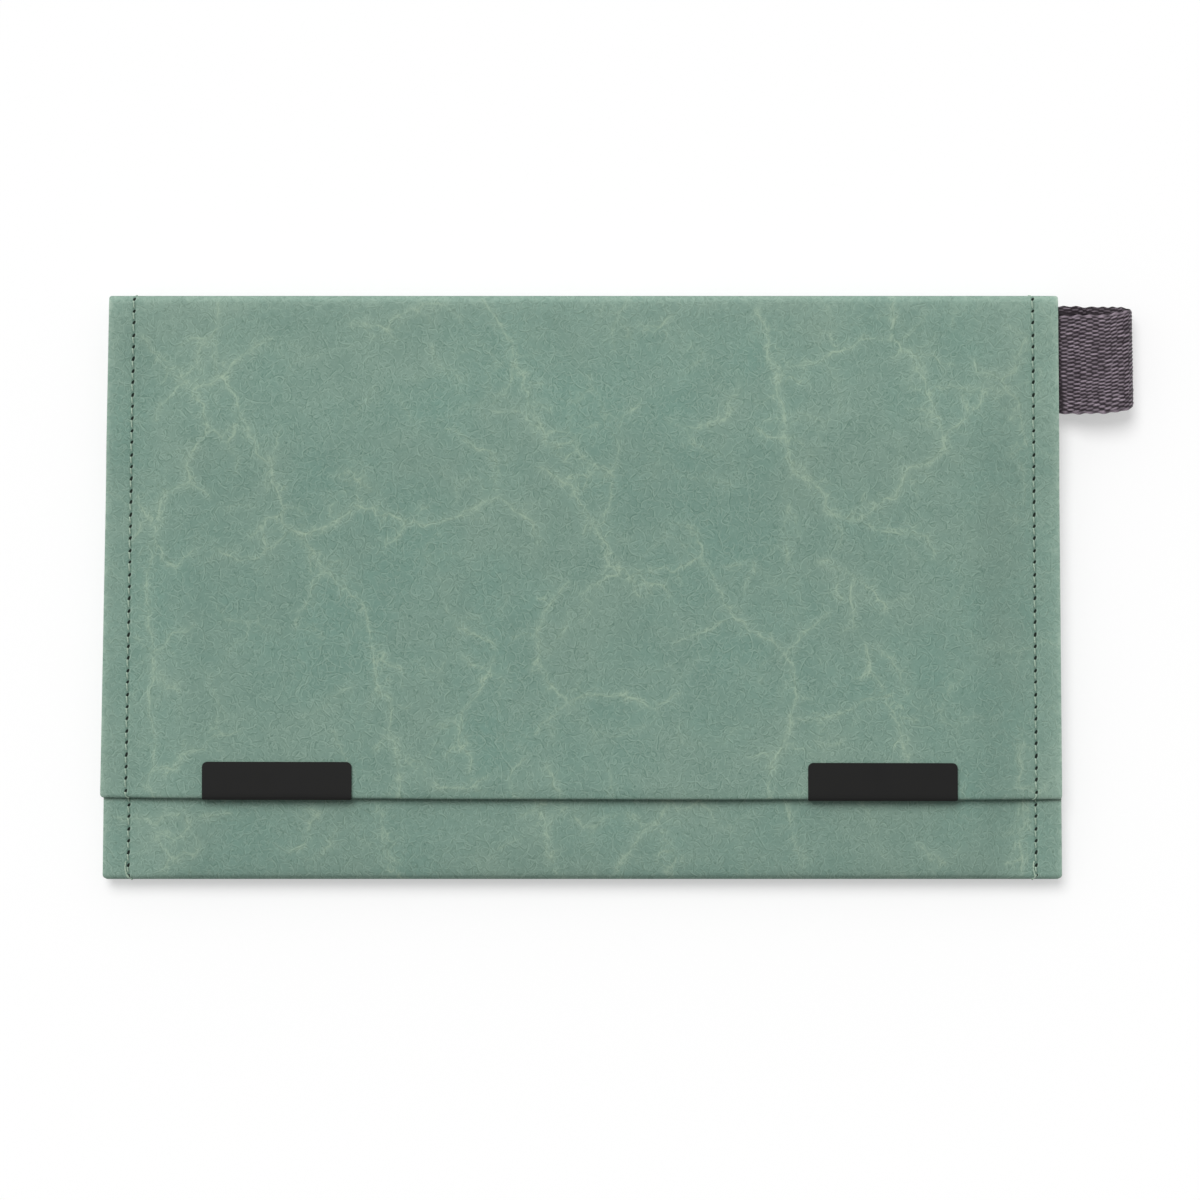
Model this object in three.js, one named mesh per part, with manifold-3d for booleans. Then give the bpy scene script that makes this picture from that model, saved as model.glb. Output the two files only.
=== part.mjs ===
// Travel organizer: a slim document pouch folded from washable kraft paper. A wide flap turns over
// the front on a shallow spine, two folded steel clips on the flap's edge meet magnets behind the
// front panel, and a webbing loop is sewn into the right side.
// Millimetres, +Z up. The organizer lies on its back: +Y points to the spine, +X to the loop, and
// the origin is the middle of the flat outer face of the back panel.

import * as THREE from "three";
import { mergeVertices } from "three/addons/utils/BufferGeometryUtils.js";
import Module from "manifold-3d";

const wasm = await Module();
wasm.setup();

// Outline
const POUCH_WIDTH = 240;
const POUCH_HEIGHT = 146;
const FLAP_WIDTH = 239;
const FLAP_EDGE_Y = -52.5;
const MOUTH_Y = 42;
const TOP_Y = POUCH_HEIGHT / 2;

// Paper plies
const PAPER = 0.55;
const PLY_GAP = 0.15;
const PLY = PAPER + PLY_GAP;

// Swell: the plies are pinched together along the sides and the folds, SEAM_RISE above the table,
// and part towards a flat middle. Each slope is given from its pinched end to its flat end.
const SEAM_RISE = 3.3;
const PINCH_X = 112;
const MIDDLE_X = 97;
const BOTTOM_SLOPE = { pinch: -71.5, middle: -54 };
const BACK_TOP_SLOPE = { pinch: 66, middle: 50 };
const FLAP_TOP_SLOPE = { pinch: 66, middle: 44 };

// Contents of the flat middle, from the table up
const POCKET_SPACE = 0.5;
const DOCUMENT_SPACE = 4.65;
const MAGNET = { width: 30, height: 6.5, thickness: 1 };
const CLIP_CLEARANCE = 0.2;
const CLIP_SHEET = 0.6;

// Spine: creases open about the inner corners of the fold
const SPINE_SPAN = 3.95;
const CREASE_Y = TOP_Y - PAPER;
const CREASE_GAP = 0.15;
const SPINE_LINING_END_GAP = 1;

// Side seams
const SEAM_INSET = 6.2;
const STITCH_WIDTH = 0.7;
const STITCH_THICKNESS = 0.15;
const STITCH_LIFT = 0.1;
const STITCH_END = 1;

// Patch pockets on the back lining
const PATCH_BOTTOM_Y = -53;
const CARD_POCKET_BOTTOM_Y = -14;
const PATCH_MOUTH_Y = 40;
const PATCH_INNER_X = 3;
const PATCH_SEAM_INSET = 2.5;

// Flap clips
const CLIP = { x: 76, width: 38, height: 9.8, innerHeight: 7.2, edgeGap: 0.15 };
const CLIP_CORNER = 1.25;
const CLIP_BEND = 0.2;
const MAGNET_Y = -48;

// Webbing loop
const WEBBING = { width: 25, thickness: 1.05 };
const LOOP_Y = 57.5;
const LOOP_REACH_X = 138.6;
const LOOP_GAP = 4.4;
const LOOP_SHOULDER = 5.8;
const LOOP_PARTING = 1.4;
const TAIL_X = [112.2, 119.85];
const TAIL_GAP = 0.3;
const TAIL_RAMP = { x: 3, y: 2.5 };
const TAIL_MARGIN = 1.3;

// Straight runs that stand for a quarter or half turn
const BEND_STEPS = 6;
const ROLL_STEPS = 10;

// Heights of each ply's underside, along the pinched strips and in the flat middle
const BACK_PANEL = { pinch: SEAM_RISE, middle: 0 };
const BACK_LINING = { pinch: SEAM_RISE + PLY, middle: PLY };
const POCKET_UNDER = BACK_LINING.middle + PAPER + POCKET_SPACE;
const FRONT_LINING = { pinch: SEAM_RISE + 2 * PLY, middle: POCKET_UNDER + PAPER + DOCUMENT_SPACE };
const MAGNET_UNDER = FRONT_LINING.middle + PLY;
const FRONT_PANEL = { pinch: SEAM_RISE + 3 * PLY, middle: MAGNET_UNDER + MAGNET.thickness + PLY_GAP };
const CLIP_UNDER = FRONT_PANEL.middle + PAPER + CLIP_CLEARANCE;
const FLAP_LINING = {
  pinch: SEAM_RISE + PAPER + SPINE_SPAN - PLY,
  middle: CLIP_UNDER + CLIP_SHEET + PLY_GAP,
};
const FLAP_PANEL = { pinch: FLAP_LINING.pinch + PLY, middle: FLAP_LINING.middle + PLY };
const TAIL_UNDER = SEAM_RISE + PLY;
const LOOP_Z = TAIL_UNDER + WEBBING.thickness;

const LOWER_CREASE = new THREE.Vector3(0, CREASE_Y, SEAM_RISE + PAPER);
const UPPER_CREASE = new THREE.Vector3(0, CREASE_Y, SEAM_RISE + PAPER + SPINE_SPAN);
const LOOP_AXIS = new THREE.Vector3(TAIL_X[1] + TAIL_GAP + WEBBING.thickness, LOOP_Y, LOOP_Z);

function finish(color, roughness, metalness = 0) {
  return new THREE.MeshStandardMaterial({ color, roughness, metalness });
}

const kraftPaper = finish(0x7b9588, 0.85);
const liningPaper = finish(0x748d80, 0.88);
const thread = finish(0xa9bfae, 0.8);
const blackSteel = finish(0x2a2a2a, 0.45, 0.2);
const nickel = finish(0xb9b9b4, 0.35, 1);
const webbing = finish(0x5c535b, 0.95);

function piece(name, geometry, material) {
  const mesh = new THREE.Mesh(geometry, material);
  mesh.name = name;
  return mesh;
}

// A flat piece between two corners.
function slab(name, material, [x0, x1], [y0, y1], [z0, z1]) {
  const mesh = piece(name, new THREE.BoxGeometry(x1 - x0, y1 - y0, z1 - z0), material);
  mesh.position.set((x0 + x1) / 2, (y0 + y1) / 2, (z0 + z1) / 2);
  return mesh;
}

// How far up the swell a point lies: 0 on the pinched strips, 1 in the flat middle.
function swell(x, y, slopes) {
  const across = (PINCH_X - Math.abs(x)) / (PINCH_X - MIDDLE_X);
  const along = slopes.map((slope) => (y - slope.pinch) / (slope.middle - slope.pinch));
  return THREE.MathUtils.clamp(Math.min(across, ...along), 0, 1);
}

// A swelling ply's underside at a point, between its two heights.
function plyHeight(x, y, level, slopes) {
  return THREE.MathUtils.lerp(level.pinch, level.middle, swell(x, y, slopes));
}

// A paper ply as a closed shell: a grid of points on its underside and the same grid one paper
// thickness higher. Each cell is split along the diagonal that climbs most, so corners form hips.
function plyGeometry(xs, ys, underside) {
  const columns = xs.length;
  const layer = columns * ys.length;
  const positions = [];
  for (const lift of [0, PAPER]) {
    for (const y of ys) {
      for (const x of xs) {
        positions.push(x, y, underside(x, y) + lift);
      }
    }
  }
  const faces = [];
  const quad = (a, b, c, d) => faces.push(a, b, c, a, c, d);
  const climb = (a, b) => Math.abs(positions[3 * a + 2] - positions[3 * b + 2]);
  for (let j = 0; j < ys.length - 1; j += 1) {
    for (let i = 0; i < columns - 1; i += 1) {
      const a = j * columns + i;
      let corners = [a, a + 1, a + columns + 1, a + columns];
      if (climb(corners[1], corners[3]) > climb(corners[0], corners[2])) {
        corners = [corners[1], corners[2], corners[3], corners[0]];
      }
      quad(...corners.map((corner) => corner + layer));
      quad(corners[0], corners[3], corners[2], corners[1]);
    }
  }
  const all = Array.from({ length: layer }, (_, k) => k);
  const nearEdge = all.slice(0, columns);
  const farEdge = all.slice(layer - columns).reverse();
  const rightEdge = all.filter((k) => k % columns === columns - 1);
  const leftEdge = all.filter((k) => k % columns === 0).reverse();
  for (const edge of [nearEdge, rightEdge, farEdge, leftEdge]) {
    for (let k = 0; k < edge.length - 1; k += 1) {
      quad(edge[k], edge[k + 1], edge[k + 1] + layer, edge[k] + layer);
    }
  }
  const geometry = new THREE.BufferGeometry();
  geometry.setAttribute("position", new THREE.Float32BufferAttribute(positions, 3));
  geometry.setIndex(faces);
  return geometry;
}

function gridAcross(width) {
  return [-width / 2, -PINCH_X, -MIDDLE_X, MIDDLE_X, PINCH_X, width / 2];
}

// A section drawn in the YZ plane and carried along X, centred on x = 0.
function carriedAlongX(section, length, curveSegments) {
  const geometry = new THREE.ExtrudeGeometry(section, { depth: length, bevelEnabled: false, curveSegments });
  const axes = new THREE.Matrix4().makeBasis(
    new THREE.Vector3(0, 1, 0),
    new THREE.Vector3(0, 0, 1),
    new THREE.Vector3(1, 0, 0),
  );
  return geometry.applyMatrix4(axes).translate(-length / 2, 0, 0);
}

// Two-way between a geometry and a solid that can be cut.
function solidOf(geometry) {
  const bare = geometry.clone();
  bare.deleteAttribute("normal");
  bare.deleteAttribute("uv");
  const merged = mergeVertices(bare);
  const vertProperties = merged.attributes.position.array;
  const triVerts = new Uint32Array(merged.index.array);
  return new wasm.Manifold(new wasm.Mesh({ numProp: 3, vertProperties, triVerts }));
}

function geometryOf(solid) {
  const mesh = solid.getMesh();
  const geometry = new THREE.BufferGeometry();
  geometry.setAttribute("position", new THREE.BufferAttribute(mesh.vertProperties, 3));
  geometry.setIndex(new THREE.BufferAttribute(mesh.triVerts, 1));
  return geometry;
}

// The back is one swelling ply, and its lining follows it one ply higher, lifted over the sewn-in
// ends of the webbing.
function makeBack() {
  const slopes = [BOTTOM_SLOPE, BACK_TOP_SLOPE];
  const panelYs = [
    BOTTOM_SLOPE.pinch,
    BOTTOM_SLOPE.middle,
    BACK_TOP_SLOPE.middle,
    BACK_TOP_SLOPE.pinch,
    CREASE_Y - CREASE_GAP,
  ];
  const panel = plyGeometry(gridAcross(POUCH_WIDTH), panelYs, (x, y) => plyHeight(x, y, BACK_PANEL, slopes));

  const tailLift = 2 * WEBBING.thickness + PLY_GAP;
  const tailLow = LOOP_Y - WEBBING.width / 2 - PLY_GAP;
  const liningTop = LOOP_Y + WEBBING.width / 2 + TAIL_MARGIN;
  const overTails = (x, y) => {
    const across = (x - (PINCH_X - TAIL_RAMP.x)) / TAIL_RAMP.x;
    const along = (y - (tailLow - TAIL_RAMP.y)) / TAIL_RAMP.y;
    return tailLift * THREE.MathUtils.clamp(Math.min(across, along), 0, 1);
  };
  const liningXs = [...gridAcross(POUCH_WIDTH), PINCH_X - TAIL_RAMP.x].sort((a, b) => a - b);
  const liningYs = [
    BOTTOM_SLOPE.pinch + PLY,
    BOTTOM_SLOPE.middle,
    tailLow - TAIL_RAMP.y,
    tailLow,
    BACK_TOP_SLOPE.middle,
    BACK_TOP_SLOPE.pinch,
    liningTop,
  ];
  const liningHeight = (x, y) => plyHeight(x, y, BACK_LINING, slopes) + overTails(x, y);
  return [
    piece("back_panel", panel, kraftPaper),
    piece("back_lining", plyGeometry(liningXs, liningYs, liningHeight), liningPaper),
  ];
}

// The front swells the other way, from the bottom fold to its open mouth.
function makeFront() {
  const front = (level, bottom) =>
    plyGeometry(gridAcross(POUCH_WIDTH), [bottom, BOTTOM_SLOPE.middle, MOUTH_Y], (x, y) =>
      plyHeight(x, y, level, [BOTTOM_SLOPE]),
    );
  return [
    piece("front_panel", front(FRONT_PANEL, BOTTOM_SLOPE.pinch), kraftPaper),
    piece("front_lining", front(FRONT_LINING, BOTTOM_SLOPE.pinch + PLY), liningPaper),
  ];
}

// The paper rolls over along the bottom from the back to the front.
function makeBottomFold() {
  const outer = (FRONT_PANEL.pinch + PAPER - BACK_PANEL.pinch) / 2;
  const centre = { y: -TOP_Y + outer, z: BACK_PANEL.pinch + outer };
  const section = new THREE.Shape();
  section.absarc(centre.y, centre.z, outer, Math.PI / 2, (3 * Math.PI) / 2, false);
  section.absarc(centre.y, centre.z, outer - PAPER, (3 * Math.PI) / 2, Math.PI / 2, true);
  return piece("bottom_fold", carriedAlongX(section, POUCH_WIDTH, ROLL_STEPS), kraftPaper);
}

// A patch pocket, open at its upper edge, and the thread that holds its other three.
function makePatch(name, [x0, x1], bottom) {
  const top = POCKET_UNDER + PAPER;
  const patch = slab(name, liningPaper, [x0, x1], [bottom, PATCH_MOUTH_Y], [POCKET_UNDER, top]);
  const seam = { x0: x0 + PATCH_SEAM_INSET, x1: x1 - PATCH_SEAM_INSET, y: bottom + PATCH_SEAM_INSET };
  const seamTop = PATCH_MOUTH_Y - STITCH_END;
  const row = new THREE.Shape([
    new THREE.Vector2(seam.x0, seamTop),
    new THREE.Vector2(seam.x0, seam.y),
    new THREE.Vector2(seam.x1, seam.y),
    new THREE.Vector2(seam.x1, seamTop),
    new THREE.Vector2(seam.x1 - STITCH_WIDTH, seamTop),
    new THREE.Vector2(seam.x1 - STITCH_WIDTH, seam.y + STITCH_WIDTH),
    new THREE.Vector2(seam.x0 + STITCH_WIDTH, seam.y + STITCH_WIDTH),
    new THREE.Vector2(seam.x0 + STITCH_WIDTH, seamTop),
  ]);
  const geometry = new THREE.ExtrudeGeometry(row, { depth: STITCH_THICKNESS, bevelEnabled: false });
  const stitches = piece(`${name}_stitch`, geometry, thread);
  stitches.position.z = top + STITCH_LIFT;
  return [patch, stitches];
}

// A straight row of thread along a side, its lower face at the given height.
function makeStitchRow(name, x, [y0, y1], z) {
  const across = [x - STITCH_WIDTH / 2, x + STITCH_WIDTH / 2];
  return slab(name, thread, across, [y0 + STITCH_END, y1 - STITCH_END], [z, z + STITCH_THICKNESS]);
}

function makeMagnet(name, x) {
  return slab(
    name,
    nickel,
    [x - MAGNET.width / 2, x + MAGNET.width / 2],
    [MAGNET_Y - MAGNET.height / 2, MAGNET_Y + MAGNET.height / 2],
    [MAGNET_UNDER, MAGNET_UNDER + MAGNET.thickness],
  );
}

// A folded steel clip: a U section that grips the flap's edge, cut to an outline whose upper
// corners are round.
function makeClip(name, x) {
  const outerY = FLAP_EDGE_Y - CLIP.edgeGap - CLIP_SHEET;
  const innerY = FLAP_EDGE_Y - CLIP.edgeGap;
  const topY = outerY + CLIP.height;
  const innerTopY = outerY + CLIP.innerHeight;
  const low = { outer: CLIP_UNDER, inner: CLIP_UNDER + CLIP_SHEET };
  const high = { inner: FLAP_PANEL.middle + PLY, outer: FLAP_PANEL.middle + PLY + CLIP_SHEET };
  const bend = CLIP_BEND + CLIP_SHEET;

  const section = new THREE.Shape();
  section.moveTo(topY, high.inner);
  section.lineTo(topY, high.outer);
  section.lineTo(outerY + bend, high.outer);
  section.absarc(outerY + bend, high.outer - bend, bend, Math.PI / 2, Math.PI, false);
  section.absarc(outerY + bend, low.outer + bend, bend, Math.PI, (3 * Math.PI) / 2, false);
  section.lineTo(innerTopY, low.outer);
  section.lineTo(innerTopY, low.inner);
  section.absarc(innerY + CLIP_BEND, low.inner + CLIP_BEND, CLIP_BEND, (3 * Math.PI) / 2, Math.PI, true);
  section.absarc(innerY + CLIP_BEND, high.inner - CLIP_BEND, CLIP_BEND, Math.PI, Math.PI / 2, true);
  section.lineTo(topY, high.inner);

  const half = CLIP.width / 2;
  const outline = new THREE.Shape();
  outline.moveTo(-half, outerY - bend);
  outline.lineTo(half, outerY - bend);
  outline.absarc(half - CLIP_CORNER, topY - CLIP_CORNER, CLIP_CORNER, 0, Math.PI / 2, false);
  outline.absarc(-half + CLIP_CORNER, topY - CLIP_CORNER, CLIP_CORNER, Math.PI / 2, Math.PI, false);
  const depth = high.outer - low.outer + 2 * bend;
  const blank = new THREE.ExtrudeGeometry(outline, { depth, bevelEnabled: false, curveSegments: BEND_STEPS });
  blank.translate(0, 0, low.outer - bend);

  const bent = solidOf(carriedAlongX(section, CLIP.width + 2 * bend, BEND_STEPS));
  const clip = piece(name, geometryOf(bent.intersect(solidOf(blank))), blackSteel);
  clip.position.x = x;
  return clip;
}

// The flap lies over the front with the same swell, from the spine to its free edge.
function makeFlap() {
  const flap = (level, edge) =>
    plyGeometry(
      gridAcross(FLAP_WIDTH),
      [edge, FLAP_TOP_SLOPE.middle, FLAP_TOP_SLOPE.pinch, CREASE_Y - CREASE_GAP],
      (x, y) => plyHeight(x, y, level, [FLAP_TOP_SLOPE]),
    );
  const row = [FLAP_EDGE_Y, CREASE_Y - CREASE_GAP];
  const rowX = FLAP_WIDTH / 2 - SEAM_INSET;
  const rowZ = FLAP_PANEL.pinch + PAPER + STITCH_LIFT;
  return [
    piece("flap_panel", flap(FLAP_PANEL, FLAP_EDGE_Y), kraftPaper),
    piece("flap_lining", flap(FLAP_LINING, FLAP_EDGE_Y + PLY), liningPaper),
    makeStitchRow("flap_stitch_left", -rowX, row, rowZ),
    makeStitchRow("flap_stitch_right", rowX, row, rowZ),
    makeClip("flap_clip_left", -CLIP.x),
    makeClip("flap_clip_right", CLIP.x),
  ];
}

function makeSpine() {
  const half = POUCH_WIDTH / 2;
  const panelZ = [LOWER_CREASE.z + CREASE_GAP, UPPER_CREASE.z - CREASE_GAP];
  const liningY = CREASE_Y - 2 * PLY_GAP;
  const liningZ = [LOWER_CREASE.z + SPINE_LINING_END_GAP, UPPER_CREASE.z - SPINE_LINING_END_GAP];
  const liningHalf = half - PLY;
  return [
    slab("spine_panel", kraftPaper, [-half, half], [CREASE_Y, TOP_Y], panelZ),
    slab("spine_lining", liningPaper, [-liningHalf, liningHalf], [liningY - PAPER, liningY], liningZ),
  ];
}

// The webbing folds back on itself: two layers leave the seam together, part, and meet again round
// the end. The section is drawn in the XZ plane and carried along Y.
function makeLoop() {
  const { x, z } = LOOP_AXIS;
  const thickness = WEBBING.thickness;
  const inner = LOOP_GAP / 2;
  const outer = inner + thickness;
  const end = LOOP_REACH_X - outer;
  const shoulder = x + LOOP_SHOULDER;
  const parting = x + LOOP_PARTING;
  const middle = (x + shoulder) / 2;

  const section = new THREE.Shape();
  section.absarc(x, z, thickness, Math.PI / 2, (3 * Math.PI) / 2, false);
  section.bezierCurveTo(middle, z - thickness, middle, z - outer, shoulder, z - outer);
  section.absarc(end, z, outer, -Math.PI / 2, Math.PI / 2, false);
  section.lineTo(shoulder, z + outer);
  section.bezierCurveTo(middle, z + outer, middle, z + thickness, x, z + thickness);

  const eye = new THREE.Path();
  eye.moveTo(parting, z);
  eye.bezierCurveTo(middle + thickness, z, middle, z + inner, shoulder, z + inner);
  eye.absarc(end, z, inner, Math.PI / 2, -Math.PI / 2, true);
  eye.lineTo(shoulder, z - inner);
  eye.bezierCurveTo(middle, z - inner, middle + thickness, z, parting, z);
  section.holes.push(eye);

  const geometry = new THREE.ExtrudeGeometry(section, {
    depth: WEBBING.width,
    bevelEnabled: false,
    curveSegments: ROLL_STEPS,
  });
  geometry.rotateX(Math.PI / 2).translate(0, LOOP_Y + WEBBING.width / 2, 0);
  return piece("webbing_loop", geometry, webbing);
}

function makeLoopTails() {
  return slab(
    "loop_tails",
    webbing,
    TAIL_X,
    [LOOP_Y - WEBBING.width / 2, LOOP_Y + WEBBING.width / 2],
    [TAIL_UNDER, TAIL_UNDER + 2 * WEBBING.thickness],
  );
}

function makePouch() {
  const rowX = POUCH_WIDTH / 2 - SEAM_INSET;
  const frontRow = [BOTTOM_SLOPE.pinch, MOUTH_Y];
  const frontRowZ = FRONT_PANEL.pinch + PAPER + STITCH_LIFT;
  const backRow = [BOTTOM_SLOPE.pinch, CREASE_Y - CREASE_GAP];
  const backRowZ = BACK_PANEL.pinch - STITCH_LIFT - STITCH_THICKNESS;
  return [
    ...makeBack(),
    ...makeFront(),
    makeBottomFold(),
    ...makePatch("passport_pocket", [-MIDDLE_X, -PATCH_INNER_X], PATCH_BOTTOM_Y),
    ...makePatch("card_pocket", [PATCH_INNER_X, MIDDLE_X], CARD_POCKET_BOTTOM_Y),
    makeMagnet("catch_magnet_left", -CLIP.x),
    makeMagnet("catch_magnet_right", CLIP.x),
    makeLoopTails(),
    makeStitchRow("side_stitch_left", -rowX, frontRow, frontRowZ),
    makeStitchRow("side_stitch_right", rowX, frontRow, frontRowZ),
    makeStitchRow("back_stitch_left", -rowX, backRow, backRowZ),
    makeStitchRow("back_stitch_right", rowX, backRow, backRowZ),
  ];
}

// A group that turns about an axis point: the pieces keep their places in the organizer's frame.
function turningGroup(axisPoint, pieces) {
  const group = new THREE.Group();
  group.position.copy(axisPoint);
  for (const mesh of pieces) {
    mesh.position.sub(axisPoint);
    group.add(mesh);
  }
  return group;
}

const organizer = new THREE.Group();
const spine = turningGroup(LOWER_CREASE, makeSpine());
const flap = turningGroup(UPPER_CREASE, makeFlap());
flap.position.sub(LOWER_CREASE);
spine.add(flap);
organizer.add(...makePouch(), spine, turningGroup(LOOP_AXIS, [makeLoop()]));

export default organizer;
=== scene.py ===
import math

import bpy
import numpy as np
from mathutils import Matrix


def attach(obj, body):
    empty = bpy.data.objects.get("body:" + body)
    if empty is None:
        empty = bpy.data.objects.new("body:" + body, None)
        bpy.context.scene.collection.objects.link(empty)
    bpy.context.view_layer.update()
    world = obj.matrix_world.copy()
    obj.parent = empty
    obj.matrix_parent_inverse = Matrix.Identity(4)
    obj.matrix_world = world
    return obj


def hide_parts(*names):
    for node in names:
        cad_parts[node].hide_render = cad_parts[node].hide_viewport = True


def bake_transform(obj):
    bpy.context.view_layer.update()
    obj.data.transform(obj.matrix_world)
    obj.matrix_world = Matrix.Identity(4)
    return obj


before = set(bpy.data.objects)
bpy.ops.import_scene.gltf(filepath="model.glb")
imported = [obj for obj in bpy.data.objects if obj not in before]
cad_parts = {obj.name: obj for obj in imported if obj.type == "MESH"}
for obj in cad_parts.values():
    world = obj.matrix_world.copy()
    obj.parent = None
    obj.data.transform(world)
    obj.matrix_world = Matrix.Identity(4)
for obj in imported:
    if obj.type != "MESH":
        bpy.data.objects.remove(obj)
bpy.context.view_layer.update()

# Outer paper of the pouch
# One sheet of washable kraft paper, 0.55 mm thick, that runs from the middle of the spine down the back,
# round the rolled bottom fold and up the front to the mouth. Washing has crinkled it; its sides are sewn.

MM = 0.001
PAPER, OUTER_RIM = 0.55, 0.12
POUCH_HALF_WIDTH = 120.0
POUCH_HALF_HEIGHT = 73.0
TOP_TAPER_LEFT = 1.5
TOP_TAPER_RIGHT = 0.9
CORNER_RADIUS = 0.9
SPINE_CORNER = 0.7
SPINE_MIDDLE_Z = 5.825
CREASE_RADIUS = 2.0
BACK_PINCH_Z = 3.3
FOLD_RADIUS = 1.325
FOLD_Y = -71.85
MOUTH_Y = 42.0
BACK_SINK = -3.3
FRONT_RISE, FRONT_DIP = 3.4, 0.6
FRONT_START_Y, FRONT_REACH = -72.7, 22.5
STILL_X, STILL_Y, STILL_REACH = 76.0, -48.0, 3.0
SWAY, SWAY_LENGTH = 0.14, 70.0
SEAM_X = 113.6
SEAM_GROOVE, GROOVE_WIDTH = 0.14, 0.8
CREASE_HEIGHT, CREASE_WIDTH, WALL_WIDTH = 0.05, 1.35, 1.5
STITCH = 3.0
HOLE_HALF_WIDTH, HOLE_HALF_LENGTH, HOLE_SLANT = 0.36, 0.55, -0.9
GRAIN = 0.4
FIBRE_WIDTH, FIBRE_LENGTH = 0.25, 1.2

# Each ramp is given by the places where it starts and where it is full
SIDE_RAMP = (112.0, 97.0)
BOTTOM_RAMP, TOP_RAMP = (-71.5, -54.0), (66.0, 50.0)
BETWEEN_CLIPS = (54.0, 34.0)
DIP_FROM_BELOW, DIP_FROM_ABOVE = (-66.0, -54.0), (-30.0, -44.0)
STILL_RAMP = (20.0, 34.0)

SPINE_RUN = SPINE_MIDDLE_Z - BACK_PINCH_Z - CREASE_RADIUS
CREASE_RUN = SPINE_RUN + CREASE_RADIUS * math.pi / 2
BACK_RUN = CREASE_RUN + POUCH_HALF_HEIGHT - CREASE_RADIUS - FOLD_Y
FOLD_RUN = BACK_RUN + FOLD_RADIUS * math.pi
FRONT_RUN = FOLD_RUN + MOUTH_Y - FOLD_Y


def ease(value, start, end):
    """0 before start, 1 after end, and 3t^2 - 2t^3 between them."""
    t = np.clip((value - start) / (end - start), 0, 1)
    return t * t * (3 - 2 * t)


def steps(*stretches):
    """Places along a line: each stretch (start, end, spacing) is divided evenly, shared ends kept once."""
    parts = [np.linspace(a, b, max(2, round(abs(b - a) / d) + 1))[:-1] for a, b, d in stretches]
    return np.concatenate(parts + [[stretches[-1][1]]])


def side_to_side(*inner):
    """Places across a sewn sheet, close together at its cut sides and seams, with inner stretches between."""
    sides = ((120, 119, 0.25), (119, 115, 0.8), (115, 112.2, 0.35))
    left = [(-outer, -inmost, spacing) for outer, inmost, spacing in sides]
    right = [(inmost, outer, spacing) for outer, inmost, spacing in reversed(sides)]
    return steps(*left, *inner, *right)


def ripple(x, y, length, seed):
    """Smooth random hills about length mm across: seven sine waves of random heading, pace and phase."""
    full_turn = 6.283
    draw = np.random.default_rng(seed)
    total = np.zeros(np.broadcast(x, y).shape)
    for _ in range(7):
        heading, phase, pace = draw.uniform((0, 0, 0.7), (full_turn, full_turn, 1.4))
        along = x * math.cos(heading) + y * math.sin(heading)
        total += np.sin(along * pace * full_turn / length + phase)
    return total * 0.3


def corner_cut(depth, radius):
    """How far a rounded corner has drawn in at a depth from the edge: r - sqrt(r^2 - (r - depth)^2)."""
    left = np.clip(radius - depth, 0, radius)
    return radius - np.sqrt(radius ** 2 - left ** 2)


def surface(name, grids, finish, around=False, fields=None):
    """Mesh object over grids of points (rows, columns, 3) in mm, with quads between neighbours.
    Around joins each last column to the first and closes both ends. Fields are values at the points."""
    places, faces, start = [], [], 0
    for grid in grids:
        rows, columns = grid.shape[:2]
        index = start + np.arange(rows * columns).reshape(rows, columns)
        ring = np.concatenate([index, index[:, :1]], axis=1) if around else index
        quads = np.stack([ring[:-1, :-1], ring[:-1, 1:], ring[1:, 1:], ring[1:, :-1]], axis=-1)
        faces += quads.reshape(-1, 4).tolist()
        if around:
            faces += [index[0, ::-1].tolist(), index[-1].tolist()]
        places.append(grid.reshape(-1, 3) * MM)
        start += rows * columns
    mesh = bpy.data.meshes.new(name)
    mesh.from_pydata(np.concatenate(places), [], faces)
    mesh.shade_smooth()
    mesh.materials.append(finish)
    for label, values in (fields or {}).items():
        attribute = mesh.attributes.new(label, "FLOAT", "POINT")
        attribute.data.foreach_set("value", np.ascontiguousarray(values, np.float32).ravel())
    made = bpy.data.objects.new(name, mesh)
    bpy.context.collection.objects.link(made)
    return made


def thicken(piece, thickness, rim):
    """Gives a sheet its thickness on the side away from its faces, and rounds its cut rim."""
    solid = piece.modifiers.new("thickness", "SOLIDIFY")
    solid.thickness = thickness * MM
    solid.offset = -1
    soft = piece.modifiers.new("rim", "BEVEL")
    soft.width = rim * MM
    soft.segments = 2
    soft.limit_method = "ANGLE"
    soft.angle_limit = math.radians(50)


def paper_ply(name, points, finish, creases, wear_and_painted_light, rim, **seam):
    """A ply of paper over a grid of points, with its crinkle lines, its wear and painted light, and any seam
    as fields.
    """
    fields = {"crease": creases[0], "crease_side": creases[1], "wear_and_painted_light": wear_and_painted_light, **seam}
    ply = surface(name, [points], finish, fields=fields)
    thicken(ply, PAPER, rim)
    return ply


def rubbed(strength, distance, width):
    """Wear that fades away from an edge: strength times e to the power of -distance / width."""
    return strength * np.exp(-distance / width)


def bent(x, y, far, length, fine, seed):
    """Places moved aside by ripples: far mm in hills about length mm across, fine mm in hills of 4 mm."""
    return [place + far * ripple(x, y, length, seed + k) + fine * ripple(x, y, 4, seed + k + 1)
            for place, k in ((x, 0), (y, 2))]


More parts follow.
